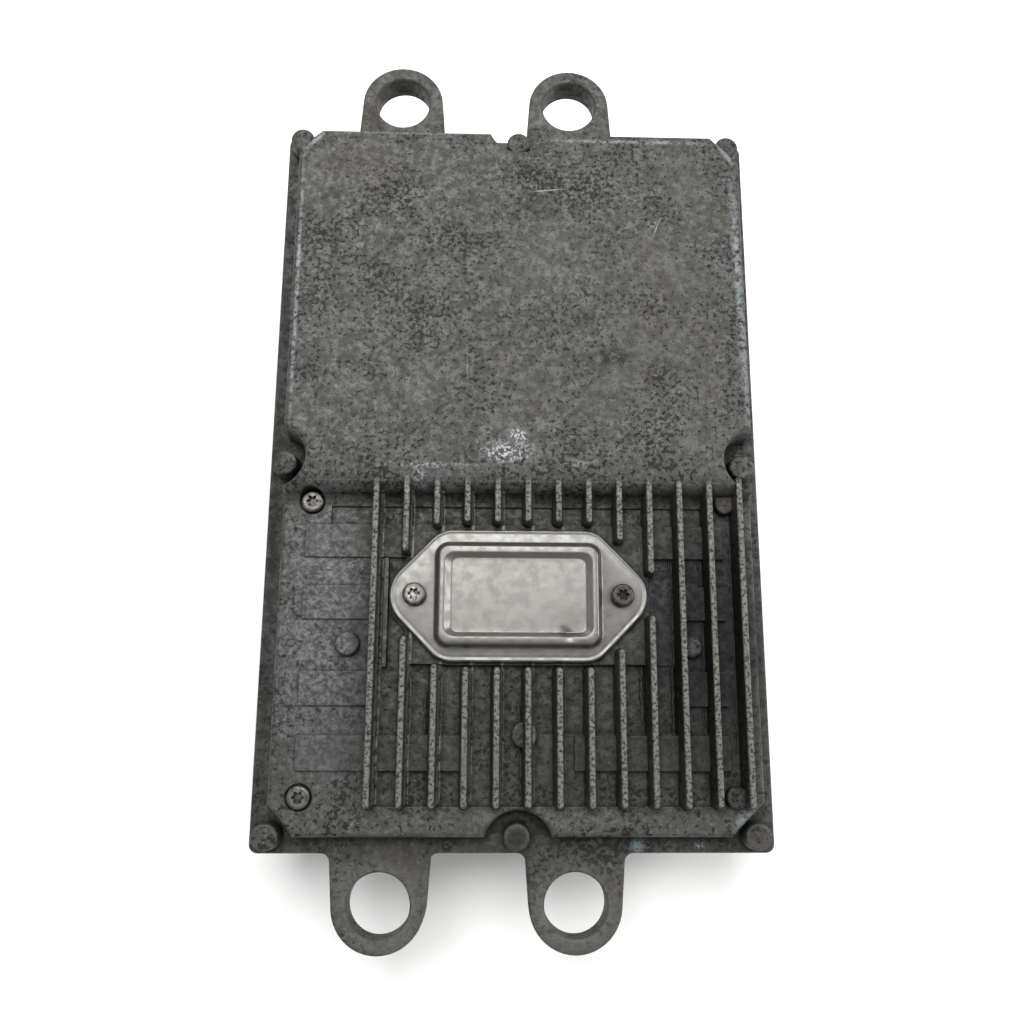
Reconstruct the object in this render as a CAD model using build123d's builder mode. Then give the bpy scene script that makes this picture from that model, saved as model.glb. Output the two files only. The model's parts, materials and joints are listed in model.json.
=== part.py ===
from build123d import *
import os

# Fuel injection control module, lying on its back with the cooling fins up.
# X runs across the fins, Y along them and Z up, in millimetres.
# The origin is the centre of the flange rectangle, on the plane the module rests on.

# Flange and mounting ears
flange_width = 176.0
flange_length = 266.0
flange_thickness = 10.0
flange_corner = 3.0
flange_round = 0.8
ear_spacing = 65.3
ear_shift = -12.0
ear_reach = 16.5
ear_tip_radius = 15.6
ear_root_width = 33.6
ear_root_fillet = 3.0
ear_hole_radius = 10.5
ear_hole_rim = 0.6

# Heights of the casting, each above the level before it
back_depth = 30.0
gasket_thickness = 1.0
floor_rise = 8.0
plateau_rise = 8.0
fin_rise = 7.0
field_drop = 0.8
deep_drop = 1.8
pad_rise = 0.6
floor_wall = 4.0
plateau_wall = 3.5
overlap = 1.0

# Raised body above the flange: its insets from the flange's sides, and the cut of each corner
body_inset_left = 6.4
body_inset_right = 4.2
body_inset_bottom = 5.4
body_inset_top = 6.2
corner_top_left = (9.0, 8.0)
corner_top_right = (11.0, 11.0)
corner_bottom_right = (11.5, 11.5)
corner_bottom_left = (9.0, 11.0)
body_draft_angle = 5.0
body_round = 1.5

# Slope from the plateau down to the fin floor, measured from the body's finned end
slope_foot_run = 111.3
slope_waist_run = 4.3
slope_knee_run = 9.8
slope_start_run = 22.8
slope_knee_drop = 1.0
slope_waist_rise = 3.2

# Screw posts and the pockets that clear them
post_inset_left = 6.8
post_inset_right = 7.4
post_inset_end = 6.0
post_middle_x = 0.8
post_middle_run = 15.7
post_radius = 4.6
post_draft_angle = 2.0
post_hole_depth = 15.0
cover_boss_radius = 5.0
cover_boss_drop = 5.0
cover_boss_floor = 1.5
end_pocket_radius = 11.1
end_pocket_x = 1.3
end_pocket_inset = 3.0
side_pocket_radius = 10.2
side_pocket_inset = 4.5
side_pocket_rise = 0.6
pocket_draft_angle = 3.0

# Fins, spread evenly between the first and the last
fin_count = 13
fin_first_inset = 33.8
fin_last_inset = 6.44
fin_end_inset = 10.3
fin_top_width = 1.9
fin_draft_angle = 7.8
fin_tip_round = 0.4
fin_slope_reach = 9.9
fin_to_cover = 2.0

# Access cover, a long hexagon with round corners
cover_x = 1.15
cover_from_end = 80.0
cover_screw_reach = 35.45
cover_tip_reach = 32.1
cover_tip_radius = 12.0
cover_corner_reach = 22.5
cover_half_height = 22.8
cover_corner_radius = 10.0
sheet = 1.0
bead_length = 56.7
bead_height = 36.0
bead_corner = 4.7
bead_rise = 2.2
bead_lean_angle = 30.0
bead_round = 0.7
pan_length = 47.7
pan_height = 27.8
pan_corner = 2.5
pan_drop = 1.3
cover_skirt = 0.9
cover_gasket = 1.2
gasket_to_skirt = 0.4
gasket_to_bead = 2.5

# Fin field: deeper below the cover, a sunk band at the foot of the slope, and the cover's seat
deep_reach = (46.2, 23.5)
band_reach = 16.1
band_depth = 6.5
seat_reach = (23.3, 24.4)
seat_margin = 0.8
low_rib_to_cover = (1.75, 0.25)
low_rib_reach = (24.4, 12.6)
low_rib_rise = 2.6

# Pads over the power transistors: rows measured from the body's finned end
pad_runs = (99.0, 77.6, 48.6, 27.4)
pad_depth = 11.5
pad_inset = 15.7

# Bolts, screws and their heads
screw_radius = 2.0
screw_clear = 2.3
head_radius = 3.9
head_height = 2.4
head_round = 1.0
head_clear = 0.6
small_screw_radius = 1.4
small_head_radius = 2.7
small_head_height = 2.0
case_screw_length = 19.5
cover_screw_length = 8.5
power_screw_length = 8.0
logic_screw_length = 6.0
lobe_reach = 1.55
lobe_radius = 0.52
lobe_core = 1.45
recess_depth = 1.5

# Cavity under the casting, inside the raised body
cavity_inset_left = 4.1
cavity_inset_right = 5.2
cavity_inset_end = 6.1
cavity_corner = 6.0
pocket_wall = 3.6

# Back housing: a flange like the casting's, and a tray below it with a step for the connectors
back_flange = 6.0
back_inset = 0.8
gasket_inset = 1.4
tray_inset_side = 10.5
tray_inset_end = 11.0
tray_corner = 8.0
tray_draft_angle = 2.0
tray_wall = 3.5
tray_floor = 3.0
tray_round = 1.0
tray_pocket_radius = 7.5
step_length = 80.0
step_z = 12.0
step_run = 6.0
step_round = 1.0
panel_depth = 1.2
panel_size = (62.0, 64.0)
panel_corner = 4.0
panel_pitch = (70.0, 72.0)
panel_centre_y = -40.0
breather_inset = 19.5
breather_run = 15.5
breather_radius = 6.0
breather_stem = 3.0
breather_rise = 1.4

# Circuit boards and the pillars they stand on
board_thickness = 1.6
board_gap = 1.0
board_corner = 4.0
logic_z = 18.0
power_board_drop = 7.0
pillar_radius = 4.0
logic_pillar_inset = (11.5, 14.0)
logic_pillar_step = 20.0
logic_pillar_end = 9.0
power_board_gap = 3.5
power_board_end = 4.0
power_neck_margin = 3.0
power_waist_run = 1.5
power_pillar_inset = (11.5, 9.5)
power_pillar_waist = (19.5, 17.5)
power_pillar_neck = 7.0

# Connector headers on the back: columns and rows of contacts
connector_grids = ((8, 2), (12, 3), (10, 2))
connector_inset = 34.0
contact_pitch = 2.8
contact_row_pitch = 5.5
contact_size = 1.2
contact_tip_z = 6.0
shroud_depth = 28.0
shroud_wall = 2.2
shroud_margin = 8.0
shroud_rim_z = 0.3
socket_floor_z = 12.0
header_flange = 3.0
header_flange_thickness = 2.0
key_rib = (1.4, 1.6)
key_reach = 8.0
key_set_back = 0.5
latch_size = (9.0, 1.4, 3.0)
seal_gap = 0.3

# Power transistors on the ceiling, and the bars that clamp them
transistor_width = 10.0
transistor_height = 4.4
transistor_inset = 0.3
tab_length = 6.0
tab_thickness = 1.3
insulator_thickness = 0.5
insulator_margin = 0.4
lead_reach = 5.5
lead_to_boss = 3.4
lead_drop = 3.5
lead_size = 0.8
lead_pitch = 2.54
bar_from_pads = (1.4, 0.3)
bar_width = 8.6
bar_thickness = 4.0
clamp_screw_runs = (112.8, 13.2)
clamp_screw_inset = 17.4
clamp_boss_inset = 14.6
clamp_boss_radius = 3.6
clamp_seat_drop = 1.2
clamp_hole_rise = 0.5

# Cast bosses with nothing in them: place from the cover's centre, and radius
plain_boss_offsets = ((-57.65, -16.6, 4.1), (58.85, -17.3, 3.7), (2.05, -46.6, 4.4))
boss_rise = 2.2
boss_round = 0.8

# Terminals under the access cover
opening_size = (44.0, 25.0)
opening_corner = 3.0
block_size = (40.0, 19.0)
block_height = 6.2
terminal_radius = 1.9
terminal_height = 10.4
terminal_chamfer = 0.5
terminal_pitch = 9.0
terminal_row = 4.6

# Storage capacitors and inductors on the power board
can_radius = 7.0
can_length = 27.0
can_pitch = 15.2
can_count = 4
can_round = 1.2
can_inset = (18.5, 30.5)
saddle_rise = 1.0
saddle_inset = 3.0
drum_offsets = ((24.0, 27.5), (50.0, 27.5), (37.0, 53.5))
drum_radius = 11.5
drum_core = 5.0
drum_flange = 2.0
drum_height = 14.0
winding_inset = 1.0

# Link between the two boards
link_from_cover = 40.4
link_columns = 14
link_rows = 2
link_pitch = 3.2
link_pin = 0.8
link_size = (48.0, 7.0)
link_socket_height = 9.0
link_plug_height = 2.5
link_pin_depth = 6.6

# Components of the logic board
chip_height = 2.2
processor_place = (-22.0, -28.0)
processor_side = 28.0
processor_chamfer = 1.0
memory_place = (14.0, -28.0)
memory_size = (10.0, 16.0)
crystal_place = (-22.0, -52.0)
crystal_size = (11.0, 4.6)
crystal_height = 3.4
driver_place = (0.0, 25.0)
driver_pitch = (30.0, 30.0)
driver_grid = (4, 2)
driver_size = (13.0, 18.0)
filter_inset = 31.5
filter_y = -43.0
filter_pitch = (12.0, 14.0)
filter_radius = 4.0
filter_height = 9.0

# Levels
casting_z = back_depth + gasket_thickness
flange_z = casting_z + flange_thickness
floor_z = flange_z + floor_rise
plateau_z = floor_z + plateau_rise
fin_top_z = floor_z + fin_rise
field_z = floor_z - field_drop
deep_z = floor_z - deep_drop
pad_z = floor_z + pad_rise
ceiling_z = floor_z - floor_wall
plateau_ceiling_z = plateau_z - plateau_wall
cover_z = pad_z + cover_gasket
cover_top_z = cover_z + sheet
clamp_seat_z = floor_z - clamp_seat_drop
power_top = ceiling_z - power_board_drop
power_z = power_top - board_thickness
power_screw_tip = power_z + power_screw_length
tab_top_z = ceiling_z - insulator_thickness
bar_z = tab_top_z - tab_thickness - bar_thickness
lead_z = tab_top_z - lead_drop
bearing_z = back_depth - back_flange
logic_top = logic_z + board_thickness
header_flange_z = logic_z - header_flange_thickness
seal_z = step_z + tray_floor

# Outlines
half_width = flange_width / 2
half_length = flange_length / 2
body_left = body_inset_left - half_width
body_right = half_width - body_inset_right
body_bottom = body_inset_bottom - half_length
body_top = half_length - body_inset_top
cavity_left = body_left + cavity_inset_left
cavity_right = body_right - cavity_inset_right
cavity_end = -body_bottom - cavity_inset_end
tray_half_width = half_width - tray_inset_side
tray_half_length = half_length - tray_inset_end
step_y = tray_half_length - step_length
slope_foot = body_bottom + slope_foot_run
slope_waist = slope_foot + slope_waist_run
slope_knee = slope_foot + slope_knee_run
slope_start = slope_foot + slope_start_run

# Places on the casting
ear_columns = (ear_shift - ear_spacing / 2, ear_shift + ear_spacing / 2)
ear_places = [(x, side * (half_length + ear_reach)) for x in ear_columns for side in (-1, 1)]
post_middle_y = slope_foot + post_middle_run
post_columns = (post_inset_left - half_width, post_middle_x, half_width - post_inset_right)
post_rows = (post_inset_end - half_length, post_middle_y, half_length - post_inset_end)
post_places = [(x, y) for x in post_columns for y in post_rows]
post_places.remove((post_middle_x, post_middle_y))
middle_posts = [(post_middle_x, y) for y in post_rows[::2]] + [(x, post_middle_y) for x in post_columns[::2]]
end_pockets = [(end_pocket_x, side * (half_length - end_pocket_inset)) for side in (-1, 1)]
side_pocket_y = post_middle_y + side_pocket_rise
side_pockets = [(side * (half_width - side_pocket_inset), side_pocket_y) for side in (-1, 1)]
fin_first = body_left + fin_first_inset
fin_last = body_right - fin_last_inset
fin_pitch = (fin_last - fin_first) / (fin_count - 1)
fin_end = body_bottom + fin_end_inset
fin_places = [fin_first + index * fin_pitch for index in range(fin_count)]
cover_y = body_bottom + cover_from_end
cover_screws = [(cover_x + side * cover_screw_reach, cover_y) for side in (-1, 1)]
deep_range = (cover_y - deep_reach[0], cover_y - deep_reach[1])
seat_range = (cover_y - seat_reach[0], cover_y + seat_reach[1])
cover_tip_x = cover_x - cover_tip_reach - cover_tip_radius
low_rib_x = (cover_tip_x - low_rib_to_cover[0], cover_tip_x - low_rib_to_cover[1])
low_rib_y = (cover_y - low_rib_reach[0], cover_y + low_rib_reach[1])
pad_rows = [body_bottom + run for run in pad_runs]
pad_outer = half_width - pad_inset
pad_spans = (
    (pad_rows[0], (-pad_outer, pad_outer)),
    (pad_rows[1], (-pad_outer, fin_first)),
    (pad_rows[1], (fin_places[10], pad_outer)),
    (pad_rows[2], (-pad_outer, fin_first)),
    (pad_rows[2], (fin_places[10], pad_outer)),
    (pad_rows[3], (-pad_outer, fin_places[3])),
    (pad_rows[3], (fin_places[6] + fin_pitch / 2, pad_outer)),
)
clamp_screw_rows = [body_bottom + run for run in clamp_screw_runs]
outer_screws = [(clamp_screw_inset - half_width, y) for y in clamp_screw_rows]
inner_screws = [(half_width - clamp_boss_inset, y) for y in clamp_screw_rows]
plain_bosses = [(cover_x + x, cover_y + y, radius) for x, y, radius in plain_boss_offsets]
plain_bosses += [(x, y, clamp_boss_radius) for x, y in inner_screws]

# Places inside
transistor_outer = pad_outer - transistor_inset
lead_foot_x = cover_x + cover_screw_reach + cover_boss_radius + lead_to_boss
transistor_inner = lead_foot_x + lead_reach
transistor_shoulder = transistor_outer - tab_length
bar_places = (bar_from_pads[0] - pad_outer, pad_outer + bar_from_pads[1])
power_neck = lead_foot_x + power_neck_margin
power_waist = slope_start + power_waist_run
power_end = cavity_end - power_board_end
power_left = cavity_left + power_board_gap
power_right = cavity_right - power_board_gap
power_pillars_high = [
    (cavity_left + inset, y)
    for inset, y in (
        (power_pillar_inset[0], cavity_end - power_pillar_inset[1]),
        (power_pillar_waist[0], slope_start + power_pillar_waist[1]),
    )
]
power_pillars_high += [(cavity_left + cavity_right - x, y) for x, y in power_pillars_high]
power_pillars_low = [
    (side * (power_neck - power_pillar_neck), power_pillar_inset[1] - cavity_end) for side in (-1, 1)
]
logic_columns = (logic_pillar_inset[0] - tray_half_width, tray_half_width - logic_pillar_inset[0])
deep_pillars = [(x, logic_pillar_inset[1] - tray_half_length) for x in logic_columns]
deep_pillars += [(x, step_y - logic_pillar_step) for x in logic_columns]
step_pillars = [(x, tray_half_length - logic_pillar_end) for x in logic_columns]
logic_pillars = deep_pillars + step_pillars
connector_y = tray_half_length - connector_inset
breather_place = (tray_half_width - breather_inset, step_y + breather_run)
terminal_places = [
    (cover_x + column * terminal_pitch, cover_y + row * terminal_row)
    for column, row in ((-1.5, 1), (-0.5, 1), (0.5, 1), (1.5, 1), (-1, -1), (0, -1), (1, -1))
]
can_columns = [cavity_left + can_inset[0] + index * can_pitch for index in range(can_count)]
can_y = cavity_end - can_inset[1]
can_z = power_top + saddle_rise + can_radius
drum_places = [(x, cavity_end - run) for x, run in drum_offsets]
link_y = cover_y - link_from_cover
link_places = [
    ((column - (link_columns - 1) / 2) * link_pitch, link_y + (row - (link_rows - 1) / 2) * link_pitch)
    for column in range(link_columns)
    for row in range(link_rows)
]
link_pin_z = logic_top + link_socket_height - link_pin_depth

os.makedirs("parts", exist_ok=True)


def lobe_recess(places, top_z, facing=1):
    """Cut six-lobe drive recesses into the active part, from top_z against its facing."""
    level = Plane((0, 0, top_z), x_dir=(1, 0, 0), z_dir=(0, 0, facing))
    with BuildSketch(level) as lobes:
        for x, y in places:
            with Locations((x, facing * y)):
                Circle(lobe_core)
                with PolarLocations(lobe_reach, 6):
                    Circle(lobe_radius)
    extrude(lobes.sketch, amount=-recess_depth, mode=Mode.SUBTRACT)


def cylinders(places, radius, bottom, top, mode=Mode.ADD):
    """Upright cylinders at the given places of the active part."""
    with BuildSketch(Plane.XY.offset(bottom)) as discs:
        with Locations(*places):
            Circle(radius)
    extrude(discs.sketch, amount=top - bottom, mode=mode)


def box_between(x_range, y_range, z_range, mode=Mode.ADD):
    """Box in the active part, given by its two limits along each axis."""
    (x0, x1), (y0, y1), (z0, z1) = x_range, y_range, z_range
    with Locations(((x0 + x1) / 2, (y0 + y1) / 2, (z0 + z1) / 2)):
        Box(x1 - x0, y1 - y0, z1 - z0, mode=mode)


def rim_rectangle(inset, mode=Mode.ADD):
    """Rounded rectangle of the flange, moved in by inset, in the active sketch."""
    RectangleRounded(flange_width - 2 * inset, flange_length - 2 * inset, flange_corner, mode=mode)


def pan_screws(places, seat_z, radius, length, head, height, facing=1):
    """Pan head screws in the active part: heads on seat_z towards facing, shanks the other way."""
    tip_z = seat_z - facing * length
    crown_z = seat_z + facing * height
    cylinders(places, radius, min(seat_z, tip_z), max(seat_z, tip_z))
    with BuildPart(mode=Mode.PRIVATE) as heads:
        cylinders(places, head, min(seat_z, crown_z), max(seat_z, crown_z))
        crowns = heads.edges().filter_by(lambda e: abs(e.center().Z - crown_z) < 0.01)
        fillet(crowns, head_round)
    add(heads.part)


def shroud_width(columns):
    """Outside width of a connector shroud with this many contact columns."""
    return columns * contact_pitch + shroud_margin


def contact_places(x, columns, rows):
    """Centres of a connector's contacts."""
    return [
        (
            x + (column - (columns - 1) / 2) * contact_pitch,
            connector_y + (row - (rows - 1) / 2) * contact_row_pitch,
        )
        for column in range(columns)
        for row in range(rows)
    ]


def square_pins(places, size, bottom, top, mode=Mode.ADD):
    """Upright square pins at the given places of the active part."""
    with BuildSketch(Plane.XY.offset(bottom)) as squares:
        with Locations(*places):
            Rectangle(size, size)
    extrude(squares.sketch, amount=top - bottom, mode=mode)


# The three connectors share the width of the tray with even gaps
header_widths = [shroud_width(columns) + 2 * header_flange for columns, _ in connector_grids]
header_gap = (2 * (tray_half_width - tray_wall) - sum(header_widths)) / (len(header_widths) + 1)
connector_specs = []
header_edge = tray_wall - tray_half_width
for width, (columns, rows) in zip(header_widths, connector_grids):
    connector_specs.append((header_edge + header_gap + width / 2, columns, rows))
    header_edge += header_gap + width

# Inside outline of the finned casting, clear of the pockets in its sides
with BuildSketch() as cavity_shape:
    with BuildLine():
        Polyline(
            (cavity_left + cavity_corner, -cavity_end),
            (cavity_right - cavity_corner, -cavity_end),
            (cavity_right, cavity_corner - cavity_end),
            (cavity_right, cavity_end - cavity_corner),
            (cavity_right - cavity_corner, cavity_end),
            (cavity_left + cavity_corner, cavity_end),
            (cavity_left, cavity_end - cavity_corner),
            (cavity_left, cavity_corner - cavity_end),
            close=True,
        )
    make_face()
    with Locations(*end_pockets):
        Circle(end_pocket_radius + pocket_wall, mode=Mode.SUBTRACT)
    with Locations(*side_pockets):
        Circle(side_pocket_radius + pocket_wall, mode=Mode.SUBTRACT)

# Cover outline, the hull of two tip circles and four corner circles
with BuildSketch() as cover_outline:
    with Locations((-cover_tip_reach, 0), (cover_tip_reach, 0)):
        Circle(cover_tip_radius)
    with GridLocations(2 * cover_corner_reach, 2 * (cover_half_height - cover_corner_radius), 2, 2):
        Circle(cover_corner_radius)
    make_hull()


def cover_gap(x):
    """Lowest and highest Y that the cover and its clearance take from a fin at x, or nothing beside it."""
    if abs(x - cover_x) - fin_top_width / 2 > cover_tip_reach + cover_tip_radius + fin_to_cover:
        return []
    with BuildSketch() as kept_clear:
        with Locations((cover_x, cover_y)):
            add(cover_outline.sketch)
        offset(amount=fin_to_cover)
        with Locations((x, cover_y)):
            Rectangle(fin_top_width, flange_length, mode=Mode.INTERSECT)
    box = kept_clear.sketch.bounding_box()
    return [box.min.Y, box.max.Y]


# One ear, its hole centre at ear_reach above its root
with BuildSketch() as ear_blank:
    with Locations((0, ear_reach)):
        Circle(ear_tip_radius)
    with Locations((0, -ear_reach / 2)):
        Rectangle(ear_root_width, ear_reach)
    make_hull()

# Drafted fins with round ends; those in the middle stop short of the cover on both sides
with BuildPart() as fin_bank:
    with BuildSketch(Plane.XY.offset(fin_top_z)):
        for x in fin_places:
            ends = [fin_end, *cover_gap(x), slope_foot + fin_slope_reach]
            for y_low, y_high in zip(ends[::2], ends[1::2]):
                with Locations((x, (y_low + y_high) / 2)):
                    SlotOverall(y_high - y_low, fin_top_width, rotation=90)
    extrude(amount=deep_z - overlap - fin_top_z, taper=-fin_draft_angle)
    fillet(fin_bank.edges().filter_by(lambda e: abs(e.center().Z - fin_top_z) < 0.01), fin_tip_round)

# Posts and plain bosses, rounded at the top
with BuildPart() as posts:
    with BuildSketch(Plane.XY.offset(flange_z)):
        with Locations(*post_places):
            Circle(post_radius)
    extrude(amount=floor_z - flange_z, taper=post_draft_angle)
    for x, y, radius in plain_bosses:
        cylinders([(x, y)], radius, deep_z - overlap, floor_z + boss_rise)
    fillet(posts.faces().filter_by(Axis.Z).filter_by(lambda f: f.normal_at().Z > 0).edges(), boss_round)

# Flange with its four ears, soft along the edges
with BuildPart() as flange_plate:
    with BuildSketch(Plane.XY.offset(casting_z)) as flange_outline:
        with Locations(*[(x, half_length) for x in ear_columns]):
            add(ear_blank.sketch)
        mirror(about=Plane.XZ)
        rim_rectangle(0)
        roots = flange_outline.vertices().filter_by(
            lambda v: abs(abs(v.Y) - half_length) < 0.01 and abs(v.X) < half_width - 2 * flange_corner
        )
        fillet(roots, ear_root_fillet)
    extrude(amount=flange_thickness)
    fillet(flange_plate.faces().filter_by(Axis.Z).edges(), flange_round)

# Finned housing: one casting with flange, ears, plateau, floor, fins, pads, posts and bosses
with BuildPart() as finned_housing:
    with BuildSketch(Plane.XY.offset(flange_z)):
        with BuildLine():
            Polyline(
                (body_left + corner_bottom_left[0], body_bottom),
                (body_right - corner_bottom_right[0], body_bottom),
                (body_right, body_bottom + corner_bottom_right[1]),
                (body_right, body_top - corner_top_right[1]),
                (body_right - corner_top_right[0], body_top),
                (body_left + corner_top_left[0], body_top),
                (body_left, body_top - corner_top_left[1]),
                (body_left, body_bottom + corner_bottom_left[1]),
                close=True,
            )
        make_face()
    extrude(amount=plateau_z - flange_z, taper=body_draft_angle)
    with BuildSketch(Plane.XY.offset(flange_z)):
        with Locations(*end_pockets):
            Circle(end_pocket_radius)
        with Locations(*side_pockets):
            Circle(side_pocket_radius)
    extrude(amount=plateau_z - flange_z, taper=-pocket_draft_angle, mode=Mode.SUBTRACT)
    fillet(finned_housing.faces().sort_by(Axis.Z)[-1].edges(), body_round)
    with BuildSketch(Plane.YZ):
        with BuildLine():
            crest = TangentArc(
                (slope_start, plateau_z), (slope_knee, plateau_z - slope_knee_drop), tangent=(-1, 0)
            )
            face_arc = TangentArc(crest @ 1, (slope_waist, floor_z + slope_waist_rise), tangent=crest % 1)
            foot = TangentArc(
                (slope_foot, floor_z), (slope_waist, floor_z + slope_waist_rise), tangent=(1, 0)
            )
            Polyline(
                foot @ 0,
                (-half_length, floor_z),
                (-half_length, plateau_z + overlap),
                (slope_start, plateau_z + overlap),
                crest @ 0,
            )
        make_face()
    extrude(amount=half_width, both=True, mode=Mode.SUBTRACT)
    floor_face = finned_housing.faces().filter_by(lambda f: abs(f.center().Z - floor_z) < 0.01)[0]
    fillet(floor_face.edges().filter_by(lambda e: e.center().Y < slope_foot - overlap), body_round)
    # Fin field, deeper below the cover, and the sunk band at the foot of the slope
    box_between((fin_first, fin_last), (fin_end, slope_foot), (field_z, floor_z), Mode.SUBTRACT)
    box_between((fin_places[1], fin_places[10]), deep_range, (deep_z, field_z), Mode.SUBTRACT)
    band_x = (fin_first - band_reach, fin_first)
    box_between(band_x, (slope_foot - band_depth, slope_foot), (field_z, floor_z), Mode.SUBTRACT)
    # Pads over the transistors, and the seat of the cover
    for y, x_range in pad_spans:
        box_between(x_range, (y - pad_depth / 2, y + pad_depth / 2), (deep_z - overlap, pad_z))
    box_between((fin_places[1], fin_places[9]), seat_range, (deep_z - overlap, pad_z))
    with BuildSketch(Plane.XY.offset(deep_z - overlap)):
        with Locations((cover_x, cover_y)):
            add(cover_outline.sketch)
        offset(amount=seat_margin)
    extrude(amount=pad_z - deep_z + overlap)
    box_between(low_rib_x, low_rib_y, (deep_z - overlap, floor_z + low_rib_rise))
    add(fin_bank.part)
    add(posts.part)
    add(flange_plate.part)
    # Hollow underside, deeper below the plateau
    with BuildSketch(Plane.XY.offset(casting_z)):
        add(cavity_shape.sketch)
    extrude(amount=ceiling_z - casting_z, mode=Mode.SUBTRACT)
    with BuildSketch(Plane.XY.offset(ceiling_z)):
        add(cavity_shape.sketch)
        with Locations((0, (slope_start + cavity_end) / 2)):
            Rectangle(flange_width, cavity_end - slope_start, mode=Mode.INTERSECT)
    extrude(amount=plateau_ceiling_z - ceiling_z, mode=Mode.SUBTRACT)
    # Pillars for the power board and bosses below the cover screws, with their tapped holes
    cylinders(power_pillars_high, pillar_radius, power_top, plateau_ceiling_z + overlap)
    cylinders(power_pillars_low, pillar_radius, power_top, ceiling_z + overlap)
    power_pillars = power_pillars_high + power_pillars_low
    cylinders(power_pillars, small_screw_radius, power_top, power_screw_tip, Mode.SUBTRACT)
    cylinders(cover_screws, cover_boss_radius, ceiling_z - cover_boss_drop, ceiling_z + overlap)
    cover_hole_z = ceiling_z - cover_boss_drop + cover_boss_floor
    cylinders(cover_screws, screw_radius, cover_hole_z, pad_z, Mode.SUBTRACT)
    # Opening over the terminals
    with BuildSketch(Plane.XY.offset(ceiling_z)):
        with Locations((cover_x, cover_y)):
            RectangleRounded(*opening_size, opening_corner)
    extrude(amount=pad_z - ceiling_z, mode=Mode.SUBTRACT)
    # Clamp bar screws: clear holes with sunk heads on the left, blind holes on the right
    cylinders(outer_screws, head_radius + head_clear, clamp_seat_z, plateau_z, Mode.SUBTRACT)
    cylinders(outer_screws, screw_clear, ceiling_z, clamp_seat_z, Mode.SUBTRACT)
    cylinders(inner_screws, screw_radius, ceiling_z, floor_z + clamp_hole_rise, Mode.SUBTRACT)
    # Blind holes of the case screws, and the ear holes with their rims
    cylinders(post_places, screw_radius, casting_z, casting_z + post_hole_depth, Mode.SUBTRACT)
    cylinders(ear_places, ear_hole_radius, casting_z, flange_z, Mode.SUBTRACT)
    ear_rims = finned_housing.edges().filter_by(GeomType.CIRCLE)
    ear_rims = ear_rims.filter_by(lambda e: abs(e.radius - ear_hole_radius) < 0.01)
    chamfer(ear_rims, ear_hole_rim)

finned_housing.part.label = "finned_housing"
export_step(finned_housing.part, "parts/finned_housing.step")

# Back housing: one casting, flange and stepped tray
with BuildSketch() as tray_shape:
    RectangleRounded(2 * tray_half_width, 2 * tray_half_length, tray_corner)
    with Locations(*middle_posts):
        Circle(tray_pocket_radius, mode=Mode.SUBTRACT)

with BuildSketch() as hollow_shape:
    RectangleRounded(
        2 * (tray_half_width - tray_wall), 2 * (tray_half_length - tray_wall), tray_corner - tray_wall
    )
    with Locations(*middle_posts):
        Circle(tray_pocket_radius + tray_wall, mode=Mode.SUBTRACT)

with BuildPart() as back_housing:
    with BuildSketch(Plane((0, 0, back_depth), x_dir=(1, 0, 0), z_dir=(0, 0, -1))):
        mirror(tray_shape.sketch, about=Plane.XZ)
    extrude(amount=back_depth, taper=tray_draft_angle)
    fillet(back_housing.faces().sort_by(Axis.Z)[0].edges(), tray_round)
    with BuildSketch(Plane.YZ):
        with BuildLine():
            Polyline(
                (step_y, 0),
                (half_length, 0),
                (half_length, step_z),
                (step_y + step_run, step_z),
                close=True,
            )
        make_face()
    extrude(amount=half_width, both=True, mode=Mode.SUBTRACT)
    step_face = back_housing.faces().filter_by(lambda f: abs(f.center().Z - step_z) < 0.01)[0]
    fillet(step_face.edges().filter_by(lambda e: e.center().Y > step_y + step_run + overlap), step_round)
    with BuildSketch(Plane.XY.offset(bearing_z)):
        rim_rectangle(back_inset)
    extrude(amount=back_flange)
    with BuildSketch(Plane.XY.offset(seal_z)):
        add(hollow_shape.sketch)
    extrude(amount=back_depth - seal_z, mode=Mode.SUBTRACT)
    with BuildSketch(Plane.XY.offset(tray_floor)):
        add(hollow_shape.sketch)
        with Locations((0, (step_y - tray_wall - half_length) / 2)):
            Rectangle(flange_width, step_y - tray_wall + half_length, mode=Mode.INTERSECT)
    extrude(amount=step_z, mode=Mode.SUBTRACT)
    # Sunk panels in the underside
    with BuildSketch():
        with Locations((0, panel_centre_y)):
            with GridLocations(*panel_pitch, 2, 2):
                RectangleRounded(*panel_size, panel_corner)
    extrude(amount=panel_depth, mode=Mode.SUBTRACT)
    # Pillars of the logic board, screw holes, connector openings and the breather hole
    cylinders(step_pillars, pillar_radius, seal_z - overlap, logic_z)
    cylinders(deep_pillars, pillar_radius, tray_floor - overlap, logic_z)
    cylinders(logic_pillars, small_screw_radius, logic_top - logic_screw_length, logic_z, Mode.SUBTRACT)
    cylinders(post_places, screw_clear, bearing_z, back_depth, Mode.SUBTRACT)
    for x, columns, rows in connector_specs:
        box_between(
            (x - shroud_width(columns) / 2 - seal_gap, x + shroud_width(columns) / 2 + seal_gap),
            (connector_y - shroud_depth / 2 - seal_gap, connector_y + shroud_depth / 2 + seal_gap),
            (step_z, seal_z),
            Mode.SUBTRACT,
        )
    cylinders([breather_place], breather_stem, step_z, seal_z, Mode.SUBTRACT)

back_housing.part.label = "back_housing"
export_step(back_housing.part, "parts/back_housing.step")

# Gasket between the two castings
with BuildPart() as case_gasket:
    with BuildSketch(Plane.XY.offset(back_depth)):
        rim_rectangle(gasket_inset)
        add(cavity_shape.sketch, mode=Mode.SUBTRACT)
        with Locations(*post_places):
            Circle(screw_clear, mode=Mode.SUBTRACT)
    extrude(amount=gasket_thickness)

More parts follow.
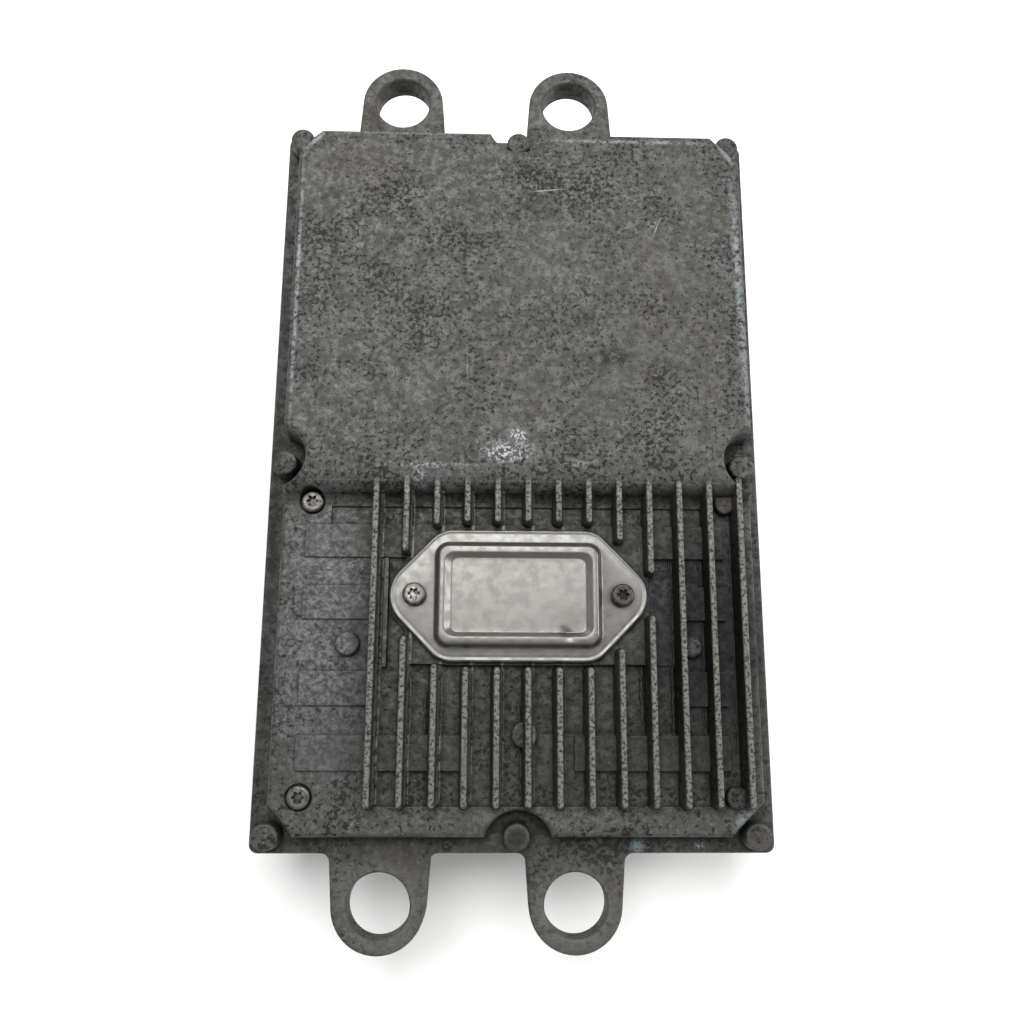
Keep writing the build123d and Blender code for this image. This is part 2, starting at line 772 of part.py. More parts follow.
case_gasket.part.label = "case_gasket"
export_step(case_gasket.part, "parts/case_gasket.step")

# Screws of the case, driven from the back into the posts
with BuildPart() as case_screws:
    pan_screws(post_places, bearing_z, screw_radius, case_screw_length, head_radius, head_height, -1)
    lobe_recess(post_places, bearing_z - head_height, -1)

case_screws.part.label = "case_screws"
export_step(case_screws.part, "parts/case_screws.step")

# Access cover, stamped from sheet: a rim with a turned skirt, a raised bead and a sunk pan
with BuildPart() as access_cover:
    with BuildSketch(Plane.XY.offset(cover_z - cover_skirt)):
        with Locations((cover_x, cover_y)):
            add(cover_outline.sketch)
    extrude(amount=cover_skirt + sheet)
    with BuildSketch(Plane.XY.offset(cover_top_z)):
        with Locations((cover_x, cover_y)):
            RectangleRounded(bead_length, bead_height, bead_corner)
    extrude(amount=bead_rise, taper=bead_lean_angle)
    with BuildSketch(Plane.XY.offset(cover_top_z + bead_rise)):
        with Locations((cover_x, cover_y)):
            RectangleRounded(pan_length, pan_height, pan_corner)
    extrude(amount=-pan_drop, taper=bead_lean_angle, mode=Mode.SUBTRACT)
    offset(amount=-sheet, openings=access_cover.faces().sort_by(Axis.Z)[0])
    fillet(access_cover.faces().sort_by(Axis.Z)[-1].edges(), bead_round)
    rim_face = access_cover.faces().filter_by(lambda f: abs(f.center().Z - cover_top_z) < 0.01)[0]
    fillet(rim_face.outer_wire().edges(), bead_round)
    cylinders(cover_screws, screw_clear, cover_z, cover_top_z, Mode.SUBTRACT)

access_cover.part.label = "access_cover"
export_step(access_cover.part, "parts/access_cover.step")

# Gasket of the access cover, inside its skirt
with BuildPart() as access_cover_gasket:
    with BuildSketch(Plane.XY.offset(pad_z)):
        with Locations((cover_x, cover_y)):
            add(cover_outline.sketch)
        offset(amount=-sheet - gasket_to_skirt)
        with Locations((cover_x, cover_y)):
            window = (bead_length - 2 * gasket_to_bead, bead_height - 2 * gasket_to_bead)
            RectangleRounded(*window, bead_corner, mode=Mode.SUBTRACT)
        with Locations(*cover_screws):
            Circle(screw_clear, mode=Mode.SUBTRACT)
    extrude(amount=cover_gasket)

access_cover_gasket.part.label = "access_cover_gasket"
export_step(access_cover_gasket.part, "parts/access_cover_gasket.step")

# Screws of the access cover, with six-lobe drives
with BuildPart() as access_cover_screws:
    pan_screws(cover_screws, cover_top_z, screw_radius, cover_screw_length, head_radius, head_height)
    lobe_recess(cover_screws, cover_top_z + head_height)

access_cover_screws.part.label = "access_cover_screws"
export_step(access_cover_screws.part, "parts/access_cover_screws.step")

# Left clamp bar screws, from the outside, and right ones, from inside into blind bosses
with BuildPart() as clamp_screws_outer:
    pan_screws(outer_screws, clamp_seat_z, screw_radius, clamp_seat_z - bar_z, head_radius, head_height)
    lobe_recess(outer_screws, clamp_seat_z + head_height)

clamp_screws_outer.part.label = "clamp_screws_outer"
export_step(clamp_screws_outer.part, "parts/clamp_screws_outer.step")

with BuildPart() as clamp_screws_inner:
    pan_screws(inner_screws, bar_z, screw_radius, floor_z - bar_z, head_radius, head_height, -1)
    lobe_recess(inner_screws, bar_z - head_height, -1)

clamp_screws_inner.part.label = "clamp_screws_inner"
export_step(clamp_screws_inner.part, "parts/clamp_screws_inner.step")

# Bars that clamp the transistors to the ceiling, with a lug at each end
with BuildPart() as clamp_bars:
    for x, screws in zip(bar_places, (outer_screws, inner_screws)):
        with BuildSketch(Plane.XY.offset(bar_z)):
            with Locations((x, sum(clamp_screw_rows) / 2)):
                SlotOverall(clamp_screw_rows[0] - clamp_screw_rows[1] + bar_width, bar_width, rotation=90)
        extrude(amount=bar_thickness)
        cylinders([(x, y) for y in clamp_screw_rows], bar_width / 2, bar_z, ceiling_z)
        cylinders(screws, screw_radius, bar_z, ceiling_z, Mode.SUBTRACT)

clamp_bars.part.label = "clamp_bars"
export_step(clamp_bars.part, "parts/clamp_bars.step")

# Eight power transistors, each with a tab, three leads and an insulating pad
with BuildPart() as power_transistors:
    for y in pad_rows:
        for side in (-1, 1):
            inner = side * transistor_inner
            outer = side * transistor_shoulder
            y_range = (y - transistor_width / 2, y + transistor_width / 2)
            box_between(sorted((inner, outer)), y_range, (tab_top_z - transistor_height, tab_top_z))
            tab_x = sorted((outer, side * transistor_outer))
            box_between(tab_x, y_range, (tab_top_z - tab_thickness, tab_top_z))

power_transistors.part.label = "power_transistors"
export_step(power_transistors.part, "parts/power_transistors.step")

with BuildPart() as transistor_leads:
    for y in pad_rows:
        for side in (-1, 1):
            foot = side * lead_foot_x
            for step in (-1, 0, 1):
                y_range = (y + step * lead_pitch - lead_size / 2, y + step * lead_pitch + lead_size / 2)
                run = sorted((foot - side * lead_size / 2, side * transistor_inner))
                box_between(run, y_range, (lead_z - lead_size / 2, lead_z + lead_size / 2))
                box_between((foot - lead_size / 2, foot + lead_size / 2), y_range, (power_top, lead_z))

transistor_leads.part.label = "transistor_leads"
export_step(transistor_leads.part, "parts/transistor_leads.step")

with BuildPart() as insulating_pads:
    for y in pad_rows:
        for side in (-1, 1):
            pad_x = sorted((side * transistor_inner, side * transistor_outer))
            pad_half = transistor_width / 2 + insulator_margin
            pad_y = (y - pad_half, y + pad_half)
            box_between(pad_x, pad_y, (tab_top_z, ceiling_z))

insulating_pads.part.label = "insulating_pads"
export_step(insulating_pads.part, "parts/insulating_pads.step")

# Power board: wide below the plateau, narrow between the two rows of transistors
with BuildPart() as power_board:
    with BuildSketch(Plane.XY.offset(power_z)):
        with Locations(((power_left + power_right) / 2, (power_end + power_waist) / 2)):
            Rectangle(power_right - power_left, power_end - power_waist)
        with Locations((0, -power_end / 2 + power_waist / 2)):
            Rectangle(2 * power_neck, power_end + power_waist)
        with Locations(*end_pockets):
            Circle(end_pocket_radius + pocket_wall + board_gap, mode=Mode.SUBTRACT)
        with Locations(*side_pockets):
            Circle(side_pocket_radius + pocket_wall + board_gap, mode=Mode.SUBTRACT)
        with Locations(*power_pillars_high, *power_pillars_low):
            Circle(small_screw_radius, mode=Mode.SUBTRACT)
    extrude(amount=board_thickness)

power_board.part.label = "power_board"
export_step(power_board.part, "parts/power_board.step")

with BuildPart() as power_board_screws:
    pan_screws(
        power_pillars_high + power_pillars_low,
        power_z,
        small_screw_radius,
        power_screw_length,
        small_head_radius,
        small_head_height,
        -1,
    )

power_board_screws.part.label = "power_board_screws"
export_step(power_board_screws.part, "parts/power_board_screws.step")

# Terminal block below the opening, with seven round terminals
with BuildPart() as terminal_block:
    with BuildSketch(Plane.XY.offset(power_top)):
        with Locations((cover_x, cover_y)):
            RectangleRounded(*block_size, opening_corner)
    extrude(amount=block_height)
    cylinders(terminal_places, terminal_radius, power_top, power_top + block_height, Mode.SUBTRACT)

terminal_block.part.label = "terminal_block"
export_step(terminal_block.part, "parts/terminal_block.step")

with BuildPart() as terminals:
    cylinders(terminal_places, terminal_radius, power_top, power_top + terminal_height)
    chamfer(terminals.faces().filter_by(lambda f: f.normal_at().Z > 0.9).edges(), terminal_chamfer)

terminals.part.label = "terminals"
export_step(terminals.part, "parts/terminals.step")

# Storage capacitors lying on a saddle
with BuildPart() as storage_capacitors:
    for x in can_columns:
        with BuildSketch(Plane((x, can_y - can_length / 2, can_z), x_dir=(1, 0, 0), z_dir=(0, 1, 0))):
            Circle(can_radius)
        extrude(amount=can_length)
    rims = storage_capacitors.edges().filter_by(GeomType.CIRCLE)
    fillet(rims, can_round)

storage_capacitors.part.label = "storage_capacitors"
export_step(storage_capacitors.part, "parts/storage_capacitors.step")

with BuildPart() as capacitor_saddle:
    box_between(
        (can_columns[0] - can_radius, can_columns[-1] + can_radius),
        (can_y - can_length / 2 + saddle_inset, can_y + can_length / 2 - saddle_inset),
        (power_top, can_z - can_radius / 2),
    )
    add(storage_capacitors.part, mode=Mode.SUBTRACT)

capacitor_saddle.part.label = "capacitor_saddle"
export_step(capacitor_saddle.part, "parts/capacitor_saddle.step")

# Inductors: drum cores, each with a winding between its flanges
with BuildPart() as inductor_cores:
    cylinders(drum_places, drum_core, power_top, power_top + drum_height)
    cylinders(drum_places, drum_radius, power_top, power_top + drum_flange)
    cylinders(drum_places, drum_radius, power_top + drum_height - drum_flange, power_top + drum_height)

inductor_cores.part.label = "inductor_cores"
export_step(inductor_cores.part, "parts/inductor_cores.step")

with BuildPart() as inductor_windings:
    low = power_top + drum_flange
    high = power_top + drum_height - drum_flange
    cylinders(drum_places, drum_radius - winding_inset, low, high)
    cylinders(drum_places, drum_core, low, high, Mode.SUBTRACT)

inductor_windings.part.label = "inductor_windings"
export_step(inductor_windings.part, "parts/inductor_windings.step")

# Logic board with its screws and components
with BuildPart() as logic_board:
    with BuildSketch(Plane.XY.offset(logic_z)):
        board_inset = tray_wall + board_gap
        board_size = (2 * (tray_half_width - board_inset), 2 * (tray_half_length - board_inset))
        RectangleRounded(*board_size, board_corner)
        with Locations(*middle_posts):
            Circle(tray_pocket_radius + tray_wall + board_gap, mode=Mode.SUBTRACT)
        with Locations(*logic_pillars):
            Circle(small_screw_radius, mode=Mode.SUBTRACT)
    extrude(amount=board_thickness)

logic_board.part.label = "logic_board"
export_step(logic_board.part, "parts/logic_board.step")

with BuildPart() as logic_board_screws:
    head = (small_head_radius, small_head_height)
    pan_screws(logic_pillars, logic_top, small_screw_radius, logic_screw_length, *head)

logic_board_screws.part.label = "logic_board_screws"
export_step(logic_board_screws.part, "parts/logic_board_screws.step")

with BuildPart() as processor:
    with Locations((*processor_place, logic_top + chip_height / 2)):
        Box(processor_side, processor_side, chip_height)
        chamfer(processor.edges().filter_by(Axis.Z), processor_chamfer)

processor.part.label = "processor"
export_step(processor.part, "parts/processor.step")

with BuildPart() as driver_chips:
    with Locations((*driver_place, logic_top + chip_height / 2)):
        with GridLocations(*driver_pitch, *driver_grid):
            Box(*driver_size, chip_height)

driver_chips.part.label = "driver_chips"
export_step(driver_chips.part, "parts/driver_chips.step")

with BuildPart() as memory_chip:
    with Locations((*memory_place, logic_top + chip_height / 2)):
        Box(*memory_size, chip_height)

memory_chip.part.label = "memory_chip"
export_step(memory_chip.part, "parts/memory_chip.step")

with BuildPart() as crystal_can:
    with BuildSketch(Plane.XY.offset(logic_top)):
        with Locations(crystal_place):
            SlotOverall(*crystal_size)
    extrude(amount=crystal_height)

crystal_can.part.label = "crystal_can"
export_step(crystal_can.part, "parts/crystal_can.step")

with BuildPart() as filter_capacitors:
    with Locations((tray_half_width - filter_inset, filter_y, logic_top + filter_height / 2)):
        with GridLocations(*filter_pitch, 2, 2):
            Cylinder(filter_radius, filter_height)

filter_capacitors.part.label = "filter_capacitors"
export_step(filter_capacitors.part, "parts/filter_capacitors.step")

# Link between the boards: pins in a plug below the power board, and a socket on the logic board
with BuildPart() as board_link_pins:
    square_pins(link_places, link_pin, link_pin_z, power_z)

board_link_pins.part.label = "board_link_pins"
export_step(board_link_pins.part, "parts/board_link_pins.step")

with BuildPart() as board_link_socket:
    with Locations((0, link_y, logic_top + link_socket_height / 2)):
        Box(*link_size, link_socket_height)
    square_pins(link_places, link_pin, link_pin_z, logic_top + link_socket_height, Mode.SUBTRACT)

board_link_socket.part.label = "board_link_socket"
export_step(board_link_socket.part, "parts/board_link_socket.step")

with BuildPart() as board_link_plug:
    with Locations((0, link_y, power_z - link_plug_height / 2)):
        Box(*link_size, link_plug_height)
    square_pins(link_places, link_pin, power_z - link_plug_height, power_z, Mode.SUBTRACT)

board_link_plug.part.label = "board_link_plug"
export_step(board_link_plug.part, "parts/board_link_plug.step")

# Connector headers with their contacts
for number, (x, columns, rows) in enumerate(connector_specs, start=1):
    places = contact_places(x, columns, rows)
    outer_x = shroud_width(columns) / 2
    outer_y = shroud_depth / 2

    with BuildPart() as contacts:
        square_pins(places, contact_size, contact_tip_z, logic_z)

    contacts.part.label = f"connector_contacts_{number}"
    export_step(contacts.part, f"parts/connector_contacts_{number}.step")

    with BuildPart() as header:
        with BuildSketch(Plane.XY.offset(shroud_rim_z)):
            with Locations((x, connector_y)):
                RectangleRounded(2 * outer_x, shroud_depth, shroud_wall)
        extrude(amount=header_flange_z - shroud_rim_z)
        box_between(
            (x - outer_x - header_flange, x + outer_x + header_flange),
            (connector_y - outer_y - header_flange, connector_y + outer_y + header_flange),
            (header_flange_z, logic_z),
        )
        with BuildSketch(Plane.XY.offset(shroud_rim_z)):
            with Locations((x, connector_y)):
                socket_size = (2 * (outer_x - shroud_wall), shroud_depth - 2 * shroud_wall)
                RectangleRounded(*socket_size, shroud_wall / 2)
        extrude(amount=socket_floor_z - shroud_rim_z, mode=Mode.SUBTRACT)
        for side in (-1, 1):
            key_x = x + side * key_reach
            box_between(
                (key_x - key_rib[0] / 2, key_x + key_rib[0] / 2),
                (connector_y + outer_y - shroud_wall - key_rib[1], connector_y + outer_y - shroud_wall / 2),
                (shroud_rim_z + key_set_back, socket_floor_z + key_set_back),
            )
        box_between(
            (x - latch_size[0] / 2, x + latch_size[0] / 2),
            (connector_y - outer_y - latch_size[1], connector_y - outer_y + shroud_wall / 2),
            (latch_size[2], 2 * latch_size[2]),
        )
        square_pins(places, contact_size, socket_floor_z, logic_z, Mode.SUBTRACT)

    header.part.label = f"connector_header_{number}"
    export_step(header.part, f"parts/connector_header_{number}.step")

with BuildPart() as connector_seals:
    for x, columns, rows in connector_specs:
        outer_x = shroud_width(columns) / 2
        outer_y = shroud_depth / 2
        with BuildSketch(Plane.XY.offset(seal_z)):
            with Locations((x, connector_y)):
                Rectangle(2 * (outer_x + header_flange), 2 * (outer_y + header_flange))
                Rectangle(2 * (outer_x + seal_gap), 2 * (outer_y + seal_gap), mode=Mode.SUBTRACT)
        extrude(amount=header_flange_z - seal_z)

connector_seals.part.label = "connector_seals"
export_step(connector_seals.part, "parts/connector_seals.step")

# Breather plug in the floor of the step
with BuildPart() as breather_plug:
    cylinders([breather_place], breather_radius, step_z - breather_rise, step_z)
    fillet(breather_plug.faces().sort_by(Axis.Z)[0].edges(), breather_rise / 2)
    cylinders([breather_place], breather_stem, step_z, seal_z + overlap)

breather_plug.part.label = "breather_plug"
export_step(breather_plug.part, "parts/breather_plug.step")
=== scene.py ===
"""Fuel injection control module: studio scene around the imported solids.

The finned casting, the back housing, the boards and all fasteners are CAD nodes that get
their finish here. The stamped access cover and the ragged casting flash are grid surfaces.
All sizes are in millimetres and become metres where a mesh or a pattern is made.
"""

import json
import logging
import math
from dataclasses import dataclass, field
from enum import Enum
from typing import Any, ClassVar

import bmesh
import bpy
import numpy as np
from mathutils import Euler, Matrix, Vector

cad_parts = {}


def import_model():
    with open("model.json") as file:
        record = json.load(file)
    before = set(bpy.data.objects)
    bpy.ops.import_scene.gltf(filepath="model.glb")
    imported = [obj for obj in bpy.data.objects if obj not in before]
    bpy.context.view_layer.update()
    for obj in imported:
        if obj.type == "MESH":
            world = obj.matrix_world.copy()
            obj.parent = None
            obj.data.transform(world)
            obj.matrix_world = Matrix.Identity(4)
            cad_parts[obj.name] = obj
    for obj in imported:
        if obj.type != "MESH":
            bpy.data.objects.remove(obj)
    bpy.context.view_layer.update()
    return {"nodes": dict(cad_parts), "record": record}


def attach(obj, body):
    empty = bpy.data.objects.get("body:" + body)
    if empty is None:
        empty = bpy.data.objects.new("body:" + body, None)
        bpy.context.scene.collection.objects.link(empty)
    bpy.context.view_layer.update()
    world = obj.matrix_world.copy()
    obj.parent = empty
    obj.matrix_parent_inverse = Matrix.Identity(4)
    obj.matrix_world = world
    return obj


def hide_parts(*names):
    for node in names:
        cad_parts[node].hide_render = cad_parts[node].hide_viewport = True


LOG = logging.getLogger("control_module")
MM = 0.001


class Slot(Enum):
    """The material slots that the record gives its pieces."""

    CAST_HOUSING = "cast_housing"
    BACK_CASTING = "back_casting"
    COVER_SHEET = "cover_sheet"
    SCREW_STEEL = "screw_steel"
    GASKET_RUBBER = "gasket_rubber"
    CONNECTOR_PLASTIC = "connector_plastic"
    CONTACT_METAL = "contact_metal"
    BOARD_LAMINATE = "board_laminate"
    CHIP_PLASTIC = "chip_plastic"
    CAN_METAL = "can_metal"
    FERRITE = "ferrite"
    COPPER_WIRE = "copper_wire"
    PAD_SILICONE = "pad_silicone"
    BAR_STEEL = "bar_steel"


def linear(hex_code: str) -> tuple[float, float, float, float]:
    """Turn an sRGB hex value into a linear colour.

    Args:
        hex_code: six hex digits with a leading hash.

    Returns:
        Red, green, blue and an alpha of one.
    """
    parts = [int(hex_code[i : i + 2], 16) / 255 for i in (1, 3, 5)]
    lit = [c / 12.92 if c <= 0.04045 else ((c + 0.055) / 1.055) ** 2.4 for c in parts]
    return (lit[0], lit[1], lit[2], 1.0)


def add_node(
    tree: bpy.types.NodeTree,
    kind: str,
    settings: dict[str, Any] | None = None,
    inputs: dict[str | int, Any] | None = None,
) -> bpy.types.Node:
    """Add one shader node with its settings, values and links.

    Args:
        tree: the node tree that gets the node.
        kind: Blender's node type.
        settings: attributes of the node.
        inputs: input name or index to a value, or to an output socket that is linked to it.

    Returns:
        The new node.
    """
    node = tree.nodes.new(kind)
    for name, value in (settings or {}).items():
        setattr(node, name, value)
    for name, value in (inputs or {}).items():
        if isinstance(value, bpy.types.NodeSocket):
            tree.links.new(value, node.inputs[name])
        else:
            node.inputs[name].default_value = value
    return node


# Settings that many nodes share: a range with soft ends, and a product kept from zero to one
SMOOTH = {"interpolation_type": "SMOOTHSTEP"}
TIMES = {"operation": "MULTIPLY", "use_clamp": True}

# Roughness of a noise that tears the edge of a layer
RAGGED = 0.7

# Rays that a node sends out at each point: few, since every pixel is sampled many times
RAYS = 2


@dataclass(frozen=True)
class Blotches:
    """Ragged blotches of one colour, where a cloudy noise passes a threshold.

    A broader noise may crowd them: it is added to the fine one before the threshold, so the
    blotches gather in drifts.
    """

    colour: str
    grain_mm: float
    low: float
    high: float
    amount: float = 1.0
    crowd_mm: float = 0.0
    crowd: float = 0.0
    rough: float = 0.6

    FINE_DETAIL: ClassVar[float] = 4.0
    BROAD_DETAIL: ClassVar[float] = 2.0

    def mask(self, tree: bpy.types.NodeTree, place: bpy.types.NodeSocket) -> bpy.types.NodeSocket:
        """Build the amount of this colour at each point.

        Args:
            tree: the material's tree.
            place: its Object coordinates.

        Returns:
            A socket from zero to the layer's amount.
        """
        # Layers of one grain share one noise, which keeps the render quick
        key = f"grain {self.grain_mm} {self.rough}"
        known = tree.nodes.get(key) or add_node(
            tree,
            "ShaderNodeTexNoise",
            {"name": key},
            {
                "Vector": place,
                "Scale": 1 / (self.grain_mm * MM),
                "Detail": self.FINE_DETAIL,
                "Roughness": self.rough,
            },
        )
        fine = known.outputs["Fac"]
        if self.crowd:
            broad = add_node(
                tree,
                "ShaderNodeTexNoise",
                inputs={
                    "Vector": place,
                    "Scale": 1 / (self.crowd_mm * MM),
                    "Detail": self.BROAD_DETAIL,
                },
            ).outputs["Fac"]
            fine = add_node(
                tree,
                "ShaderNodeMath",
                {"operation": "MULTIPLY_ADD"},
                {0: broad, 1: self.crowd, 2: fine},
            ).outputs["Value"]
        return add_node(
            tree,
            "ShaderNodeMapRange",
            SMOOTH,
            {"Value": fine, "From Min": self.low, "From Max": self.high, "To Max": self.amount},
        ).outputs["Result"]


@dataclass(frozen=True)
class Mark:
    """A patch of bloom, soot, rust, wear, painted shade or a painted highlight seen from above: a
    soft oval with a ragged edge.
    """

    x: float
    y: float
    reach_x: float
    reach_y: float
    colour: str
    strength: float = 0.8
    grain: float = 1.6
    fill: float = 0.0
    turn: float = 0.0

    # Share of the reach that is fully covered, and the noise levels where a patch breaks up
    CORE: ClassVar[float] = 0.15
    BREAK: ClassVar[tuple[float, float]] = (0.5, 0.62)

    def mask(self, tree: bpy.types.NodeTree, place: bpy.types.NodeSocket) -> bpy.types.NodeSocket:
        """Build the amount of this patch at each point.

        The distance from the oval's middle, one at its rim, fades the patch out, and a noise
        that must pass a threshold breaks it up.

        Args:
            tree: the material's tree.
            place: its Object coordinates.

        Returns:
            A socket from zero outside to the mark's strength inside.
        """
        local = add_node(
            tree,
            "ShaderNodeMapping",
            {"vector_type": "TEXTURE"},
            {
                "Vector": place,
                "Location": (self.x * MM, self.y * MM, 0.0),
                "Rotation": (0.0, 0.0, math.radians(self.turn)),
                "Scale": (self.reach_x * MM, self.reach_y * MM, 1.0),
            },
        ).outputs["Vector"]
        flat = add_node(
            tree, "ShaderNodeVectorMath", {"operation": "MULTIPLY"}, {0: local, 1: (1.0, 1.0, 0.0)}
        ).outputs["Vector"]
        far = add_node(
            tree, "ShaderNodeVectorMath", {"operation": "LENGTH"}, {0: flat}
        ).outputs["Value"]
        inside = add_node(
            tree,
            "ShaderNodeMapRange",
            SMOOTH,
            {"Value": far, "From Min": 1.0, "From Max": self.CORE, "To Max": self.strength},
        ).outputs["Result"]
        low, high = (level - self.fill for level in self.BREAK)
        broken = Blotches(self.colour, self.grain, low, high, rough=RAGGED).mask(tree, place)
        return add_node(tree, "ShaderNodeMath", TIMES, {0: inside, 1: broken}).outputs["Value"]


@dataclass(frozen=True)
class Band:
    """A layer between two heights of the object, and below one Y, broken up by a fine noise."""

    colour: str
    low_z: float
    high_z: float
    amount: float
    grain_mm: float = 1.2
    low: float = 0.0
    high: float = 0.1
    end_y: float = 170.0

    # Half of the stretch over which the band fades in at a height, and out at its end
    LEVEL_BLUR: ClassVar[float] = 0.1
    END_BLUR: ClassVar[float] = 0.5

    def mask(self, tree: bpy.types.NodeTree, place: bpy.types.NodeSocket) -> bpy.types.NodeSocket:
        """Build the amount of this band at each point.

        Args:
            tree: the material's tree.
            place: its Object coordinates.

        Returns:
            A socket from zero off the band to its amount on it.
        """
        parts = add_node(tree, "ShaderNodeSeparateXYZ", inputs={0: place})
        above, below, before = (
            add_node(
                tree,
                "ShaderNodeMapRange",
                SMOOTH,
                {"Value": parts.outputs[axis], "From Min": none * MM, "From Max": full * MM},
            ).outputs["Result"]
            for axis, none, full in (
                ("Z", self.low_z - self.LEVEL_BLUR, self.low_z + self.LEVEL_BLUR),
                ("Z", self.high_z + self.LEVEL_BLUR, self.high_z - self.LEVEL_BLUR),
                ("Y", self.end_y + self.END_BLUR, self.end_y - self.END_BLUR),
            )
        )
        level = add_node(tree, "ShaderNodeMath", TIMES, {0: above, 1: below}).outputs["Value"]
        level = add_node(tree, "ShaderNodeMath", TIMES, {0: level, 1: before}).outputs["Value"]
        broken = Blotches(
            self.colour, self.grain_mm, self.low, self.high, self.amount, rough=RAGGED
        ).mask(tree, place)
        return add_node(tree, "ShaderNodeMath", TIMES, {0: level, 1: broken}).outputs["Value"]


@dataclass(frozen=True)
class FinFootHighlight:
    """Painted highlight: pale lines along one side of the fins' feet, for the light that the smooth
    cast root catches.

    The distance across, divided by the fins' pitch, leaves a fraction that is a half on each
    line; the line shows where that fraction is near a half, inside the field of fins only.
    """

    colour: str
    first_x: float
    pitch: float
    width: float
    amount: float
    last_x: float
    low_y: float
    high_y: float
    low_z: float = 46.0
    high_z: float = 53.0

    # Shares of the width where a line ends and where it is full, the noise that breaks it
    # (grain, low and high level), and how far the lines start before the first one
    LINE: ClassVar[tuple[float, float]] = (0.6, 0.2)
    BREAK: ClassVar[tuple[float, float, float]] = (2.2, 0.36, 0.56)
    START: ClassVar[tuple[float, float]] = (1.5, 0.5)
    END_BLUR: ClassVar[float] = 0.5

    def mask(self, tree: bpy.types.NodeTree, place: bpy.types.NodeSocket) -> bpy.types.NodeSocket:
        """Build the amount of the pale lines at each point.

        Args:
            tree: the material's tree.
            place: its Object coordinates.

        Returns:
            A socket from zero off the lines to the amount on them.
        """
        parts = add_node(tree, "ShaderNodeSeparateXYZ", inputs={0: place})
        turns = add_node(
            tree,
            "ShaderNodeMath",
            {"operation": "MULTIPLY_ADD"},
            {0: parts.outputs["X"], 1: 1 / (self.pitch * MM), 2: 0.5 - self.first_x / self.pitch},
        ).outputs["Value"]
        share = add_node(
            tree, "ShaderNodeMath", {"operation": "FRACT"}, {0: turns}
        ).outputs["Value"]
        off = add_node(
            tree, "ShaderNodeMath", {"operation": "SUBTRACT"}, {0: share, 1: 0.5}
        ).outputs["Value"]
        gap = add_node(
            tree, "ShaderNodeMath", {"operation": "ABSOLUTE"}, {0: off}
        ).outputs["Value"]
        none, full = (part * self.width / self.pitch for part in self.LINE)
        line = add_node(
            tree, "ShaderNodeMapRange", SMOOTH, {"Value": gap, "From Min": none, "From Max": full}
        ).outputs["Result"]
        shown = Band(
            self.colour, self.low_z, self.high_z, self.amount, *self.BREAK, self.high_y
        ).mask(tree, place)
        # The lines start before the first fin and fade from the third one to last_x
        for axis, none, full in (
            ("X", self.first_x - self.START[0], self.first_x - self.START[1]),
            ("X", self.last_x, self.first_x + 2 * self.pitch),
            ("Y", self.low_y - self.END_BLUR, self.low_y + self.END_BLUR),
        ):
            edge = add_node(
                tree,
                "ShaderNodeMapRange",
                SMOOTH,
                {"Value": parts.outputs[axis], "From Min": none * MM, "From Max": full * MM},
            ).outputs["Result"]
            shown = add_node(tree, "ShaderNodeMath", TIMES, {0: shown, 1: edge}).outputs["Value"]
        return add_node(tree, "ShaderNodeMath", TIMES, {0: line, 1: shown}).outputs["Value"]


@dataclass(frozen=True)
class DirtAndShade:
    """Corner dirt, partly painted shade: thick where little open sky is seen within a reach."""

    colour: str
    reach_mm: float
    open_sky: float
    closed_sky: float
    amount: float
    grain_mm: float = 2.6
    thin: float = 0.4

    CLOUD: ClassVar[tuple[float, float]] = (0.35, 0.6)
    DETAIL: ClassVar[float] = 5.0

    def mask(self, tree: bpy.types.NodeTree, place: bpy.types.NodeSocket) -> bpy.types.NodeSocket:
        """Build the amount of dirt at each point.

        Args:
            tree: the material's tree.
            place: its Object coordinates.

        Returns:
            A socket from zero in the open to the amount in a tight corner.
        """
        sky = add_node(
            tree, "ShaderNodeAmbientOcclusion", {"samples": RAYS}, {"Distance": self.reach_mm * MM}
        ).outputs["AO"]
        deep = add_node(
            tree,
            "ShaderNodeMapRange",
            SMOOTH,
            {
                "Value": sky,
                "From Min": self.open_sky,
                "From Max": self.closed_sky,
                "To Max": self.amount,
            },
        ).outputs["Result"]
        cloud = add_node(
            tree,
            "ShaderNodeTexNoise",
            inputs={"Vector": place, "Scale": 1 / (self.grain_mm * MM), "Detail": self.DETAIL},
        ).outputs["Fac"]
        low, high = self.CLOUD
        ragged = add_node(
            tree,
            "ShaderNodeMapRange",
            SMOOTH,
            {"Value": cloud, "From Min": low, "From Max": high, "To Min": self.thin, "To Max": 1.0},
        ).outputs["Result"]
        return add_node(tree, "ShaderNodeMath", TIMES, {0: deep, 1: ragged}).outputs["Value"]


